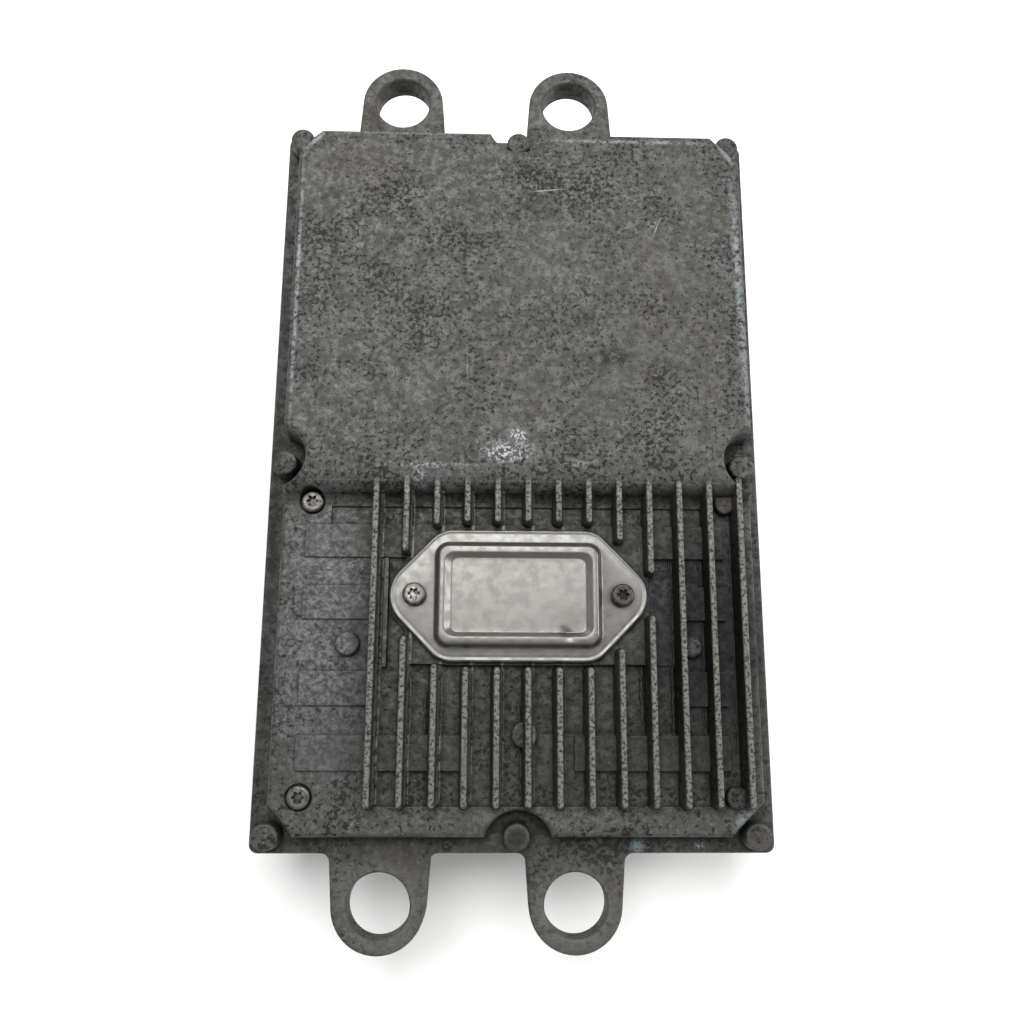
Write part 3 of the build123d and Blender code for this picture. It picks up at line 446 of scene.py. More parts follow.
@dataclass(frozen=True)
class Rub:
    """Edges rubbed bright: where a normal smoothed over a reach turns away from the flat one."""

    colour: str
    reach_mm: float
    amount: float
    grain_mm: float = 1.9

    # Agreement of the two normals where wear begins and where it is full, and its broken rim
    TURN: ClassVar[tuple[float, float]] = (0.985, 0.86)
    BREAK: ClassVar[tuple[float, float]] = (0.4, 0.58)

    def mask(self, tree: bpy.types.NodeTree, place: bpy.types.NodeSocket) -> bpy.types.NodeSocket:
        """Build the amount of wear at each point.

        Args:
            tree: the material's tree.
            place: its Object coordinates.

        Returns:
            A socket from zero on the flat to the amount on an edge.
        """
        soft = add_node(
            tree, "ShaderNodeBevel", {"samples": RAYS}, {"Radius": self.reach_mm * MM}
        ).outputs["Normal"]
        flat = add_node(tree, "ShaderNodeNewGeometry").outputs["Normal"]
        match = add_node(
            tree, "ShaderNodeVectorMath", {"operation": "DOT_PRODUCT"}, {0: soft, 1: flat}
        ).outputs["Value"]
        start, full = self.TURN
        edge = add_node(
            tree,
            "ShaderNodeMapRange",
            SMOOTH,
            {"Value": match, "From Min": start, "From Max": full, "To Max": self.amount},
        ).outputs["Result"]
        broken = Blotches(self.colour, self.grain_mm, *self.BREAK, rough=RAGGED).mask(tree, place)
        return add_node(tree, "ShaderNodeMath", TIMES, {0: edge, 1: broken}).outputs["Value"]


@dataclass(frozen=True)
class Finish:
    """One finish: a ground colour, the layers over it, and the grain of its surface.

    The layers are laid in order, each over all before it. Roughness wanders between two
    values, and a noise of the grain's size, with the dark pits, gives the relief.
    """

    name: str
    ground: str
    metallic: float
    roughness: tuple[float, float]
    layers: tuple[Blotches | Mark | Band | FinFootHighlight | DirtAndShade | Rub, ...] = ()
    grain_mm: float = 0.6
    relief_mm: float = 0.03
    pit_mm: float = 0.0
    soften_mm: float = 0.25
    ior: float = 1.5

    # The gloss wanders over a few grains between two noise levels; pits are wider than the grain
    DETAIL: ClassVar[float] = 3.0
    GLOSS_GRAINS: ClassVar[float] = 4
    GLOSS_CLOUD: ClassVar[tuple[float, float]] = (0.35, 0.65)
    GRAIN_STRENGTH: ClassVar[float] = 0.6
    PIT_GRAINS: ClassVar[float] = 2.2
    PIT_CLOUD: ClassVar[tuple[float, float]] = (0.56, 0.66)
    PIT_STRENGTH: ClassVar[float] = 0.7

    def material(self) -> bpy.types.Material:
        """Build the material.

        Returns:
            A principled material with all layers, a wandering gloss and a fine relief.
        """
        made = bpy.data.materials.new(self.name)
        made.use_nodes = True
        tree = made.node_tree
        tree.nodes.clear()
        place = add_node(tree, "ShaderNodeTexCoord").outputs["Object"]
        colour: Any = linear(self.ground)
        for layer in self.layers:
            colour = add_node(
                tree,
                "ShaderNodeMix",
                {"data_type": "RGBA"},
                {"Factor": layer.mask(tree, place), "A": colour, "B": linear(layer.colour)},
            ).outputs["Result"]
        gloss_scale = 1 / (self.GLOSS_GRAINS * self.grain_mm * MM)
        cloud = add_node(
            tree,
            "ShaderNodeTexNoise",
            inputs={"Vector": place, "Scale": gloss_scale, "Detail": self.DETAIL},
        ).outputs["Fac"]
        gloss = add_node(
            tree,
            "ShaderNodeMapRange",
            SMOOTH,
            {
                "Value": cloud,
                "From Min": self.GLOSS_CLOUD[0],
                "From Max": self.GLOSS_CLOUD[1],
                "To Min": self.roughness[0],
                "To Max": self.roughness[1],
            },
        ).outputs["Result"]
        grain = add_node(
            tree,
            "ShaderNodeTexNoise",
            inputs={"Vector": place, "Scale": 1 / (self.grain_mm * MM), "Detail": self.DETAIL},
        ).outputs["Fac"]
        soft = add_node(
            tree, "ShaderNodeBevel", {"samples": RAYS}, {"Radius": self.soften_mm * MM}
        ).outputs["Normal"]
        normal = add_node(
            tree,
            "ShaderNodeBump",
            inputs={
                "Strength": self.GRAIN_STRENGTH,
                "Distance": self.relief_mm * MM,
                "Height": grain,
                "Normal": soft,
            },
        ).outputs["Normal"]
        if self.pit_mm:
            pits = Blotches(
                self.ground, self.PIT_GRAINS * self.grain_mm, *self.PIT_CLOUD, rough=RAGGED
            ).mask(tree, place)
            normal = add_node(
                tree,
                "ShaderNodeBump",
                {"invert": True},
                {
                    "Strength": self.PIT_STRENGTH,
                    "Distance": self.pit_mm * MM,
                    "Height": pits,
                    "Normal": normal,
                },
            ).outputs["Normal"]
        shader = add_node(
            tree,
            "ShaderNodeBsdfPrincipled",
            inputs={
                "Base Color": colour,
                "Metallic": self.metallic,
                "Roughness": gloss,
                "Normal": normal,
            },
        )
        if not self.metallic:
            shader.inputs["IOR"].default_value = self.ior
        add_node(tree, "ShaderNodeOutputMaterial", inputs={"Surface": shader.outputs["BSDF"]})
        return made


# Points nearer than this, in metres, are one point
SAME_POINT = 1e-6


def grid_object(
    name: str, points: np.ndarray, closed: bool, material: bpy.types.Material, poles: bool = False
) -> bpy.types.Object:
    """Make a mesh object from a grid of points.

    Args:
        name: the piece's name.
        points: rows by columns by three, in millimetres; faces run between neighbours.
        closed: whether the last column joins the first.
        material: the finish.
        poles: whether a row that falls on one point is drawn together to that point.

    Returns:
        The object, linked to the scene and riding on the root body.
    """
    rows, columns = points.shape[:2]
    index = np.arange(rows * columns).reshape(rows, columns)
    right = np.roll(index, -1, axis=1)
    if not closed:
        index, right = index[:, :-1], right[:, :-1]
    faces = np.stack([index[:-1], right[:-1], right[1:], index[1:]], axis=-1).reshape(-1, 4)
    mesh = bpy.data.meshes.new(name)
    mesh.from_pydata((points.reshape(-1, 3) * MM).tolist(), [], faces.tolist())
    if poles:
        work = bmesh.new()
        work.from_mesh(mesh)
        bmesh.ops.remove_doubles(work, verts=work.verts, dist=SAME_POINT)
        work.to_mesh(mesh)
        work.free()
    mesh.update()
    mesh.polygons.foreach_set("use_smooth", np.ones(len(mesh.polygons), dtype=bool))
    mesh.materials.append(material)
    made = bpy.data.objects.new(name, mesh)
    bpy.context.scene.collection.objects.link(made)
    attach(made, "root")
    return made


def dress(node: bpy.types.Object, material: bpy.types.Material) -> None:
    """Give a CAD node its finish in every material slot.

    Args:
        node: the CAD node's object.
        material: the finish that its record row asks for.
    """
    if not node.material_slots:
        node.data.materials.append(material)
    for slot in node.material_slots:
        slot.material = material


# Directions in which an outline's support function is taken
WAYS = np.linspace(0, 2 * math.pi, 1440, endpoint=False)


@dataclass
class AccessCover:
    """The stamped access cover: skirt, rim with a shallow groove, rolled bead and sunk pan.

    Outlines are length, height and corner radius. The rim's rings are an inset from the edge
    and a depth below the rim. The wave is two products of sines, and the knock is a bell.
    """

    centre: tuple[float, float] = (1.15, -47.6)
    rim_z: float = 51.8
    skirt_drop: float = 1.9
    skirt_fold: float = 1.4
    edge_radius: float = 0.9
    edge_rings: int = 7
    rim_rings: tuple[tuple[float, float], ...] = ((1.3, 0.2), (2.0, 0.1), (2.8, 0.0))
    tip_reach: float = 32.1
    tip_radius: float = 12.0
    corner_reach: float = 22.5
    half_height: float = 22.8
    corner_radius: float = 10.0
    bead: tuple[float, float, float] = (56.7, 36.0, 4.7)
    brow: tuple[float, float, float] = (51.5, 29.4, 3.6)
    pan: tuple[float, float, float] = (44.9, 25.0, 2.0)
    bead_rise: float = 2.2
    bead_run: float = 2.3
    bead_inset: float = 0.6
    bead_rings: int = 9
    pan_drop: float = 1.3
    wall_rings: int = 10
    wall_bend: float = 0.1
    pan_inset: float = 0.75
    pan_rings: int = 14
    angles: int = 360
    sheet: float = 0.9
    wave: tuple[float, float] = (0.012, 0.006)
    dent: tuple[float, float] = (17.7, -61.3)
    dent_depth: float = 0.5
    dent_spread: float = 3.0
    dent_fade: float = 1.0

    # Between an angle and a way: the least cosine that counts, and the radius when none does
    LEAST_COSINE: ClassVar[float] = 0.05
    FAR_OUT: ClassVar[float] = 1e3

    def polar(self, support: np.ndarray, theta: np.ndarray) -> np.ndarray:
        """Polar radius of the outline that a support function describes.

        The radius at an angle is the smallest support over the cosine between the angle and
        the support's way.

        Args:
            support: one value for each of the ways.
            theta: the angles asked.

        Returns:
            One radius for each angle.
        """
        between = np.cos(theta[:, None] - WAYS[None, :])
        least = self.LEAST_COSINE
        radius = support[None, :] / np.maximum(between, least)
        return np.min(np.where(between > least, radius, self.FAR_OUT), axis=1)

    def hull(self, inset: float, theta: np.ndarray) -> np.ndarray:
        """Polar radius of the long hexagon, moved in by inset.

        The outline is the hull of two tip circles and four corner circles, so its support
        at a way is the largest of each centre's reach plus its radius.

        Args:
            inset: distance moved in.
            theta: the angles asked.

        Returns:
            One radius for each angle.
        """
        c, s = np.cos(WAYS), np.sin(WAYS)
        inner = self.half_height - self.corner_radius
        reach = [self.tip_reach * np.abs(c) + self.tip_radius]
        reach.append(self.corner_reach * np.abs(c) + inner * np.abs(s) + self.corner_radius)
        return self.polar(np.max(reach, axis=0) - inset, theta)

    def box_ring(
        self, size: tuple[float, float, float], inset: float, theta: np.ndarray
    ) -> np.ndarray:
        """Polar radius of a rounded rectangle, moved in by inset, by the same support rule.

        Args:
            size: length, height and corner radius.
            inset: distance moved in.
            theta: the angles asked.

        Returns:
            One radius for each angle.
        """
        length, height, corner = size
        c, s = np.abs(np.cos(WAYS)), np.abs(np.sin(WAYS))
        support = (length / 2 - corner) * c + (height / 2 - corner) * s + corner - inset
        return self.polar(support, theta)

    def surface(self) -> np.ndarray:
        """Rings of points from the skirt's edge over the bead to the middle of the pan.

        Each ring is a polar outline at one height. The edge bends over a quarter circle and
        the bead rises by a cosine, so that the sheet turns softly as a stamping does. The
        pan's wall falls evenly between two short flats, and the pan's rings shrink evenly to
        one point.

        Returns:
            Rings by angles by three, in millimetres.
        """
        theta = np.linspace(0, 2 * math.pi, self.angles, endpoint=False)
        rings: list[tuple[np.ndarray, float]] = []
        top = self.rim_z
        for drop in (self.skirt_drop, self.skirt_fold):
            rings.append((self.hull(0.0, theta), top - drop))
        for turn in np.linspace(0, math.pi / 2, self.edge_rings):
            inset = self.edge_radius * (1 - math.cos(turn))
            rings.append((self.hull(inset, theta), top - self.edge_radius * (1 - math.sin(turn))))
        for inset, sink in self.rim_rings:
            rings.append((self.hull(inset, theta), top - sink))
        crest = top + self.bead_rise
        for step in np.linspace(0, 1, self.bead_rings):
            rise = 0.5 - 0.5 * math.cos(math.pi * step)
            ring = self.box_ring(self.bead, self.bead_run * (step - 0.5) + self.bead_inset, theta)
            rings.append((ring, top + rise * self.bead_rise))
        brow = self.box_ring(self.brow, 0.0, theta)
        foot = self.box_ring(self.pan, 0.0, theta)
        for step in np.linspace(0, 1, self.wall_rings):
            fall = min(max((step - self.wall_bend) / (1 - 2 * self.wall_bend), 0.0), 1.0)
            rings.append((brow + (foot - brow) * step, crest - self.pan_drop * fall))
        inner = self.box_ring(self.pan, self.pan_inset, theta)
        for share in np.linspace(1, 0, self.pan_rings + 1)[1:]:
            rings.append((inner * share, crest - self.pan_drop))
        radius = np.array([ring for ring, _ in rings])
        height = np.repeat(np.array([z for _, z in rings])[:, None], self.angles, axis=1)
        x = self.centre[0] + radius * np.cos(theta)
        y = self.centre[1] + radius * np.sin(theta)
        # The sheet is a little uneven, and the bead has one shallow knock at its lower side;
        # both die out down the skirt
        broad, fine = self.wave
        wave = broad * np.sin(x * 0.16 + 1.3) * np.sin(y * 0.19) + fine * np.sin(x * 0.5 + y * 0.1)
        away = (x - self.dent[0]) ** 2 + (y - self.dent[1]) ** 2
        knock = self.dent_depth * np.exp(-away / self.dent_spread)
        level = np.clip((height - self.rim_z + self.dent_fade) / self.dent_fade, 0, 1)
        return np.stack([x, y, height + (wave - knock) * level], axis=-1)

    def build(self, material: bpy.types.Material) -> None:
        """Make the sheet with its thickness and stand it in for the CAD cover.

        Args:
            material: the finish of the cover.
        """
        made = grid_object("access_cover_sheet", self.surface(), True, material, poles=True)
        thick = made.modifiers.new("sheet", "SOLIDIFY")
        thick.thickness = self.sheet * MM
        thick.offset = -1.0
        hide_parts("access_cover")
        LOG.info("access cover: %d faces", len(made.data.polygons))


@dataclass
class FinFlash:
    """Thin ragged ridges of casting flash and salt along the roots of the fins.

    Each run is a fin's number from zero, the Y where it starts and ends, and a scale of its
    height. Half widths and heights are a least value and what the wander adds to it.
    """

    fin_first: float = -47.8
    fin_pitch: float = 10.43
    floor_z: float = 48.2
    beside_fin: float = 2.9
    half_width: tuple[float, float] = (0.45, 0.2)
    height: tuple[float, float] = (0.35, 0.5)
    wander: float = 0.3
    sink: float = 0.1
    points_per_mm: float = 2.2
    smoothing: int = 9
    smoothing_weight: float = 4.0
    columns: int = 7
    seed: int = 7
    runs: tuple[tuple[int, float, float, float], ...] = (
        (9, -90.0, -26.0, 1.0),
        (10, -108.0, -30.0, 1.0),
        (11, -112.0, -24.0, 1.0),
        (12, -100.0, -30.0, 0.8),
        (2, -112.0, -80.0, 0.6),
        (5, -114.0, -84.0, 0.6),
    )

    def build(self, material: bpy.types.Material) -> None:
        """Make one strip for each run: a low ridge whose height and path wander.

        The ridge has two parameters, along the run and from -1 to 1 across it. Its height is
        a cosine across, times a height that wanders along.

        Args:
            material: the finish of the casting.
        """
        rng = np.random.default_rng(self.seed)
        across = np.linspace(-1, 1, self.columns)
        window = np.hanning(self.smoothing) / self.smoothing_weight
        for number, (fin, low, high, scale) in enumerate(self.runs, start=1):
            y = np.linspace(low, high, int((high - low) * self.points_per_mm))
            steps = rng.normal(0, 1, (2, y.size))
            smooth = np.array([np.convolve(row, window, mode="same") for row in steps])
            half = self.half_width[0] + self.half_width[1] * np.abs(smooth[0])
            tall = scale * (self.height[0] + self.height[1] * np.abs(smooth[1]))
            fin_x = self.fin_first + fin * self.fin_pitch
            middle = fin_x - self.beside_fin + self.wander * smooth[0]
            x = middle[:, None] + half[:, None] * across[None, :]
            z = self.floor_z - self.sink + tall[:, None] * np.cos(across * math.pi / 2)[None, :]
            points = np.stack([x, np.repeat(y[:, None], across.size, axis=1), z], axis=-1)
            made = grid_object(f"fin_root_flash_{number}", points, False, material)
        LOG.info("fin root flash: %d runs", len(self.runs))


@dataclass(frozen=True)
class PhotoCamera:
    """The camera of the photograph, fitted to the flange, the ear holes and the fins in it.

    The place is in millimetres, the turn in degrees, and the lens and its sensor as Blender
    counts them.
    """

    place: tuple[float, float, float] = (-6.64, -91.99, 355.34)
    turn: tuple[float, float, float] = (11.395, -1.605, 0.141)
    lens: float = 31.64
    sensor: float = 36.0
    shift: tuple[float, float] = (-0.0082, 0.0338)
    clip_start: float = 0.01

    def build(self) -> None:
        """Make the camera and set it as the scene's."""
        data = bpy.data.cameras.new("photo_camera")
        data.lens = self.lens
        data.sensor_width = self.sensor
        data.shift_x, data.shift_y = self.shift
        data.clip_start = self.clip_start
        camera = bpy.data.objects.new("photo_camera", data)
        camera.location = Vector(self.place) * MM
        camera.rotation_euler = Euler([math.radians(a) for a in self.turn])
        bpy.context.scene.collection.objects.link(camera)
        bpy.context.scene.camera = camera


@dataclass(frozen=True)
class Lamp:
    """One soft square white lamp that looks at the module; places and sizes are in metres."""

    name: str
    place: tuple[float, float, float]
    size: float
    power: float

    MIDDLE: ClassVar[tuple[float, float, float]] = (0.0, 0.0, 0.03)

    def build(self) -> None:
        """Make the lamp, turned towards the middle of the module."""
        data = bpy.data.lights.new(self.name, "AREA")
        data.shape = "SQUARE"
        data.size = self.size
        data.energy = self.power
        data.color = (1.0, 1.0, 1.0)
        lamp = bpy.data.objects.new(self.name, data)
        lamp.location = Vector(self.place)
        way = Vector(self.MIDDLE) - lamp.location
        lamp.rotation_euler = way.to_track_quat("-Z", "Y").to_euler()
        bpy.context.scene.collection.objects.link(lamp)


@dataclass
class Studio:
    """Pale floor, an even surround and soft lamps."""

    floor_half: float = 3.0
    floor_colour: str = "#f6f6f5"
    floor_roughness: float = 0.9
    surround: float = 0.62
    lamps: tuple[Lamp, ...] = field(
        default_factory=lambda: (
            Lamp("over_lamp", (-0.1, 0.6, 1.3), 1.0, 21.0),
            Lamp("right_lamp", (1.1, 0.15, 0.75), 0.5, 8.0),
        )
    )

    def build(self) -> None:
        """Make the floor, the world and the lamps, and show colours as they are."""
        half = self.floor_half
        mesh = bpy.data.meshes.new("studio_floor")
        corners = [(-half, -half, 0), (half, -half, 0), (half, half, 0), (-half, half, 0)]
        mesh.from_pydata(corners, [], [(0, 1, 2, 3)])
        paper = bpy.data.materials.new("floor_paper")
        paper.use_nodes = True
        shader = paper.node_tree.nodes["Principled BSDF"]
        shader.inputs["Base Color"].default_value = linear(self.floor_colour)
        shader.inputs["Roughness"].default_value = self.floor_roughness
        mesh.materials.append(paper)
        floor = bpy.data.objects.new("studio_floor", mesh)
        bpy.context.scene.collection.objects.link(floor)
        world = bpy.data.worlds.new("studio_surround")
        world.use_nodes = True
        backdrop = world.node_tree.nodes["Background"]
        backdrop.inputs["Strength"].default_value = self.surround
        backdrop.inputs["Color"].default_value = (1.0, 1.0, 1.0, 1.0)
        bpy.context.scene.world = world
        bpy.context.scene.view_settings.view_transform = "Standard"
        for lamp in self.lamps:
            lamp.build()


# Colours of several marks: salt bloom, soot that also paints shade, a dark patch of oxide, and a
# painted highlight on rounded edges
BLOOM = "#abaeb1"
SOOT_AND_SHADE = "#191714"
DARK_PATCH = "#23221e"
EDGE_HIGHLIGHT = "#787d7f"

# Soot, salt and brown dirt on the floor of the fin field, and painted shade in its right-hand
# channels, placed as the photograph shows them
FLOOR_MARKS = (
    Mark(-66.0, -60.0, 24.0, 70.0, "#636367", 0.75, 1.6, 0.06),
    Mark(-68.0, -36.0, 16.0, 8.0, "#94979c", 0.7, 0.9, -0.09),
    Mark(-72.0, -60.0, 11.0, 14.0, "#94979c", 0.6, 0.9, -0.09),
    Mark(-74.0, -88.0, 9.0, 24.0, "#8b8e95", 0.6, 0.9, -0.1),
    Mark(-56.0, -122.5, 12.0, 3.5, "#8b8e92", 0.6, 0.9, -0.06),
    # Soot and painted shade darken the right-hand side of the fin field
    Mark(66.0, -62.0, 34.0, 62.0, "#0b0a0c", 0.95, 2.6, 0.3),
    Mark(60.0, -50.0, 20.0, 34.0, "#0a090a", 0.7, 2.6, 0.05),
    Mark(69.0, -60.0, 12.0, 40.0, "#87858a", 0.5, 0.9, -0.12),
    Mark(48.0, -62.0, 2.0, 36.0, "#1a1626", 0.8, 2.6, 0.2),
    Mark(-60.0, -95.0, 16.0, 22.0, "#3e3b42", 0.4, 2.6, 0.08),
    Mark(-61.3, -34.4, 16.0, 9.0, "#211f1d", 0.6, 1.2, -0.02),
    Mark(-52.0, -62.0, 5.0, 12.0, "#191716", 0.7, 1.6, 0.05),
    Mark(2.9, -17.6, 3.0, 3.0, "#8a7f84", 0.5, 0.9, -0.08),
    Mark(74.1, -14.5, 4.6, 4.6, "#615d5a", 0.7, 1.6, 0.1),
    Mark(61.7, -64.8, 4.6, 4.6, "#5c5c5f", 0.7, 1.6, 0.1),
    Mark(5.0, -120.5, 74.0, 5.0, "#61615e", 0.5, 1.6, 0.08),
)

# Salt bloom, dark patches, scratches, stains, painted shade and painted highlights on the plateau,
# the flange and the ears
TOP_MARKS = (
    # Paler skin on the upper plateau, and dense specks across the middle
    Mark(12.0, 68.2, 45.0, 26.0, "#5c5d5e", 0.35, 2.6, 0.06),
    Mark(8.0, 50.0, 92.0, 50.0, "#0f0e0c", 0.95, 1.6, -0.05),
    Mark(16.0, 42.0, 70.0, 32.0, "#0f0e0c", 0.95, 2.6, -0.07),
    # Dark patches
    Mark(33.7, 37.4, 10.0, 6.0, SOOT_AND_SHADE, 0.9, 1.6, 0.12),
    Mark(52.0, 31.6, 10.0, 8.0, SOOT_AND_SHADE, 0.8, 1.6, 0.06),
    Mark(5.6, 95.4, 13.0, 9.0, DARK_PATCH, 0.55, 2.6, 0.1),
    Mark(-45.8, 23.6, 6.0, 7.0, DARK_PATCH, 0.6, 1.6, 0.02),
    Mark(-61.6, 112.9, 14.0, 6.0, DARK_PATCH, 0.55, 2.6, 0.06),
    Mark(-3.0, 18.0, 20.0, 7.0, DARK_PATCH, 0.4, 2.6, 0.06),
    # Salt bloom at the crest of the slope and on the flange
    Mark(-2.5, 1.6, 13.0, 5.5, BLOOM, 0.95, 1.2, 0.02),
    Mark(0.8, 7.4, 5.0, 4.0, BLOOM, 0.95, 0.9, 0.03),
    Mark(-30.0, -3.3, 26.0, 1.8, "#808284", 0.8, 1.2, 0.03),
    Mark(21.0, -2.0, 9.0, 1.8, "#808284", 0.8, 1.2, 0.03),
    Mark(-33.2, -7.3, 3.5, 7.0, "#8f9398", 0.8, 1.2, 0.02),
    Mark(50.3, 89.1, 4.5, 1.6, "#808284", 0.7, 0.9, 0.0, 25.0),
    Mark(41.6, -130.3, 3.6, 3.6, "#7c8a90", 0.85, 0.9, 0.14),
    Mark(62.6, -130.3, 3.0, 2.5, BLOOM, 0.7, 0.9, 0.0),
    # A painted highlight down the right-hand slope, painted highlights along the plateau's rounded
    # edges and top corners, and a pale streak on the lower right corner
    Mark(80.6, 60.0, 2.4, 82.0, "#7c8285", 0.7, 1.6, 0.08, 1.2),
    Mark(-78.4, 62.0, 1.1, 76.0, EDGE_HIGHLIGHT, 0.8, 1.6, 0.1),
    Mark(-39.5, 124.8, 46.0, 1.2, EDGE_HIGHLIGHT, 0.8, 1.2, 0.08),
    Mark(41.0, 122.6, 46.0, 1.2, EDGE_HIGHLIGHT, 0.8, 1.2, 0.08),
    Mark(-74.0, 121.5, 8.0, 1.3, EDGE_HIGHLIGHT, 0.85, 1.2, 0.12, 49.0),
    Mark(77.2, 119.0, 8.0, 1.5, EDGE_HIGHLIGHT, 0.9, 1.2, 0.16, -57.0),
    Mark(76.4, -121.5, 7.0, 4.0, "#7d8387", 0.8, 1.2, 0.1, 45.0),
    # Painted shade along the left side of the flange and round two posts
    Mark(-85.5, 0.0, 3.6, 170.0, SOOT_AND_SHADE, 0.75, 2.6, 0.3),
    Mark(0.8, -127.3, 6.5, 6.5, SOOT_AND_SHADE, 0.85, 2.6, 0.2),
    Mark(79.5, -125.6, 6.0, 6.0, SOOT_AND_SHADE, 0.7, 1.6, 0.08),
    # Flattened stretches with a nick on two fins
    Mark(-16.6, -103.5, 1.8, 8.0, "#5a5854", 0.8, 2.6, 0.25),
    Mark(-5.9, -103.5, 1.8, 8.0, "#5a5854", 0.8, 2.6, 0.25),
    Mark(-16.7, -111.2, 2.2, 0.9, SOOT_AND_SHADE, 0.9, 2.6, 0.25),
    Mark(-6.1, -111.2, 2.2, 0.9, SOOT_AND_SHADE, 0.9, 2.6, 0.25),
    # Ears: rubbed pale, with a brown stain and soot at two roots
    Mark(-44.6, -151.0, 22.0, 20.0, "#6c6b66", 0.7, 2.6, 0.16),
    Mark(20.6, -151.0, 22.0, 20.0, "#6c6b66", 0.7, 2.6, 0.16),
    Mark(-44.6, 150.0, 20.0, 18.0, "#62615c", 0.6, 2.6, 0.12),
    Mark(20.6, 150.0, 20.0, 18.0, "#62615c", 0.6, 2.6, 0.12),
    Mark(-55.4, 141.6, 9.0, 12.0, "#382a1d", 0.6, 2.6, 0.1),
    Mark(-65.0, -130.2, 8.0, 4.0, SOOT_AND_SHADE, 0.75, 2.6, 0.1),
    # Three scratches
    Mark(11.6, 102.0, 9.0, 0.35, "#8b8b86", 0.9, 2.6, 0.2, 6.0),
    Mark(50.9, 87.0, 0.3, 6.5, "#8b8b86", 0.8, 2.6, 0.2, -22.0),
    Mark(-17.3, 32.2, 0.3, 6.0, "#77777a", 0.7, 2.6, 0.2),
)

# Brown stains round the cover's screws, a dull patch, and the dark line of the knock
COVER_MARKS = (
    Mark(36.9, -47.6, 6.5, 6.0, "#4f463b", 0.6, 1.6, 0.1),
    Mark(-34.5, -47.6, 6.0, 5.0, "#524c44", 0.45, 1.6, 0.06),
    Mark(32.2, -53.4, 2.6, 2.2, "#5a5043", 0.7, 1.2, 0.12),
    Mark(19.2, -54.6, 6.5, 6.5, "#5d5a55", 0.5, 2.6, 0.16),
    Mark(17.0, -60.8, 8.0, 0.9, "#36322d", 0.7, 1.6, 0.12),
)

# The right screw of the cover is dark with rust, and the left one gets a painted highlight
SCREW_MARKS = (
    Mark(36.6, -47.6, 6.0, 6.0, "#241e17", 0.97, 1.6, 0.2),
    Mark(-34.6, -47.6, 3.0, 3.0, "#b9b8b4", 0.8, 1.6, 0.1),
)

# Die-cast aluminium alloy, weathered: dull and mottled, with dark oxide specks, pale salt, and
# bare metal where edges and fin tops have been rubbed; dirt and painted shade lie in its corners,
# on the left flange and in the right-hand channels, and painted highlights on the right slope, the
# plateau's edges and the fins' feet
CASTING = Finish(
    "weathered_cast_aluminium",
    ground="#42413e",
    metallic=0.5,
    roughness=(0.5, 0.72),
    layers=(
        Blotches("#3a3a37", 34.0, 0.42, 0.62, 0.7),
        Blotches("#50504f", 16.0, 0.5, 0.68, 0.6),
        Blotches("#5d5d5b", 1.6, 0.5, 0.62, 0.6, rough=0.7),
        Blotches("#12110f", 1.5, 0.765, 0.805, 0.95, 24.0, 0.42, rough=0.62),
        Blotches("#2a2926", 6.0, 0.57, 0.68, 0.5),
        Blotches("#7b7c7a", 0.8, 0.68, 0.76, 0.4),
        # The tops of the pads, and the flange
        Band("#3f3e3b", 49.4, 49.8, 0.5),
        Band("#24221f", 30.0, 42.4, 0.24, 3.0, 0.3, 0.5),
        *FLOOR_MARKS,
        # Fin tops: a dark skin, rubbed through in stretches
        Band("#1f1d1b", 55.3, 56.25, 0.9, end_y=-8.3),
        Band("#6b6964", 55.3, 56.25, 0.95, 1.1, 0.42, 0.53, -8.3),
        *TOP_MARKS,
        Rub("#74746f", 1.2, 0.65),
        # Dirt and painted shade in the corners and channels, and round the pads' feet
        DirtAndShade("#151312", 11.0, 0.86, 0.42, 0.72, 3.0, 0.5),
        DirtAndShade("#080807", 2.4, 0.985, 0.74, 0.8, 1.6, 0.45),
        # Painted highlights along the right-hand feet of the fins
        FinFootHighlight("#85867f", -45.9, 10.43, 1.2, 0.75, 45.0, -116.5, -10.0),
    ),
    grain_mm=0.7,
    relief_mm=0.1,
    pit_mm=0.1,
    soften_mm=0.8,
)

# The same alloy out of the weather: evener and a little paler, with dirt and painted shade only in
# its corners
BACK_CASTING = Finish(
    "sheltered_cast_aluminium",
    ground="#60605e",
    metallic=0.4,
    roughness=(0.48, 0.66),
    layers=(
        Blotches("#525251", 26.0, 0.42, 0.62, 0.8),
        Blotches("#6e6e6c", 2.0, 0.54, 0.7, 0.6, rough=0.7),
        Blotches("#393835", 1.6, 0.78, 0.88, 0.8, 22.0, 0.4, rough=0.7),
        DirtAndShade("#1f1e1c", 8.0, 0.85, 0.4, 0.7, 3.0),
        Rub("#817f7b", 0.7, 0.5),
    ),
    grain_mm=0.7,
    relief_mm=0.08,
    pit_mm=0.06,
    soften_mm=0.7,
)

# Plated sheet steel, stamped: satin from handling, with long soft highlights and brown
# stains at the screws
COVER_STEEL = Finish(
    "plated_sheet_steel",
    ground="#6c6b68",
    metallic=0.85,
    roughness=(0.3, 0.44),
    layers=(
        Blotches("#666561", 14.0, 0.42, 0.66, 0.5),
        Blotches("#777673", 5.0, 0.5, 0.75, 0.4),
        Blotches("#433d36", 1.3, 0.7, 0.77, 0.4, rough=0.7),
        *COVER_MARKS,
        DirtAndShade("#2c2721", 1.8, 0.8, 0.4, 0.55, 2.0, 0.6),
    ),
    grain_mm=0.8,
    relief_mm=0.003,
    soften_mm=0.2,
)

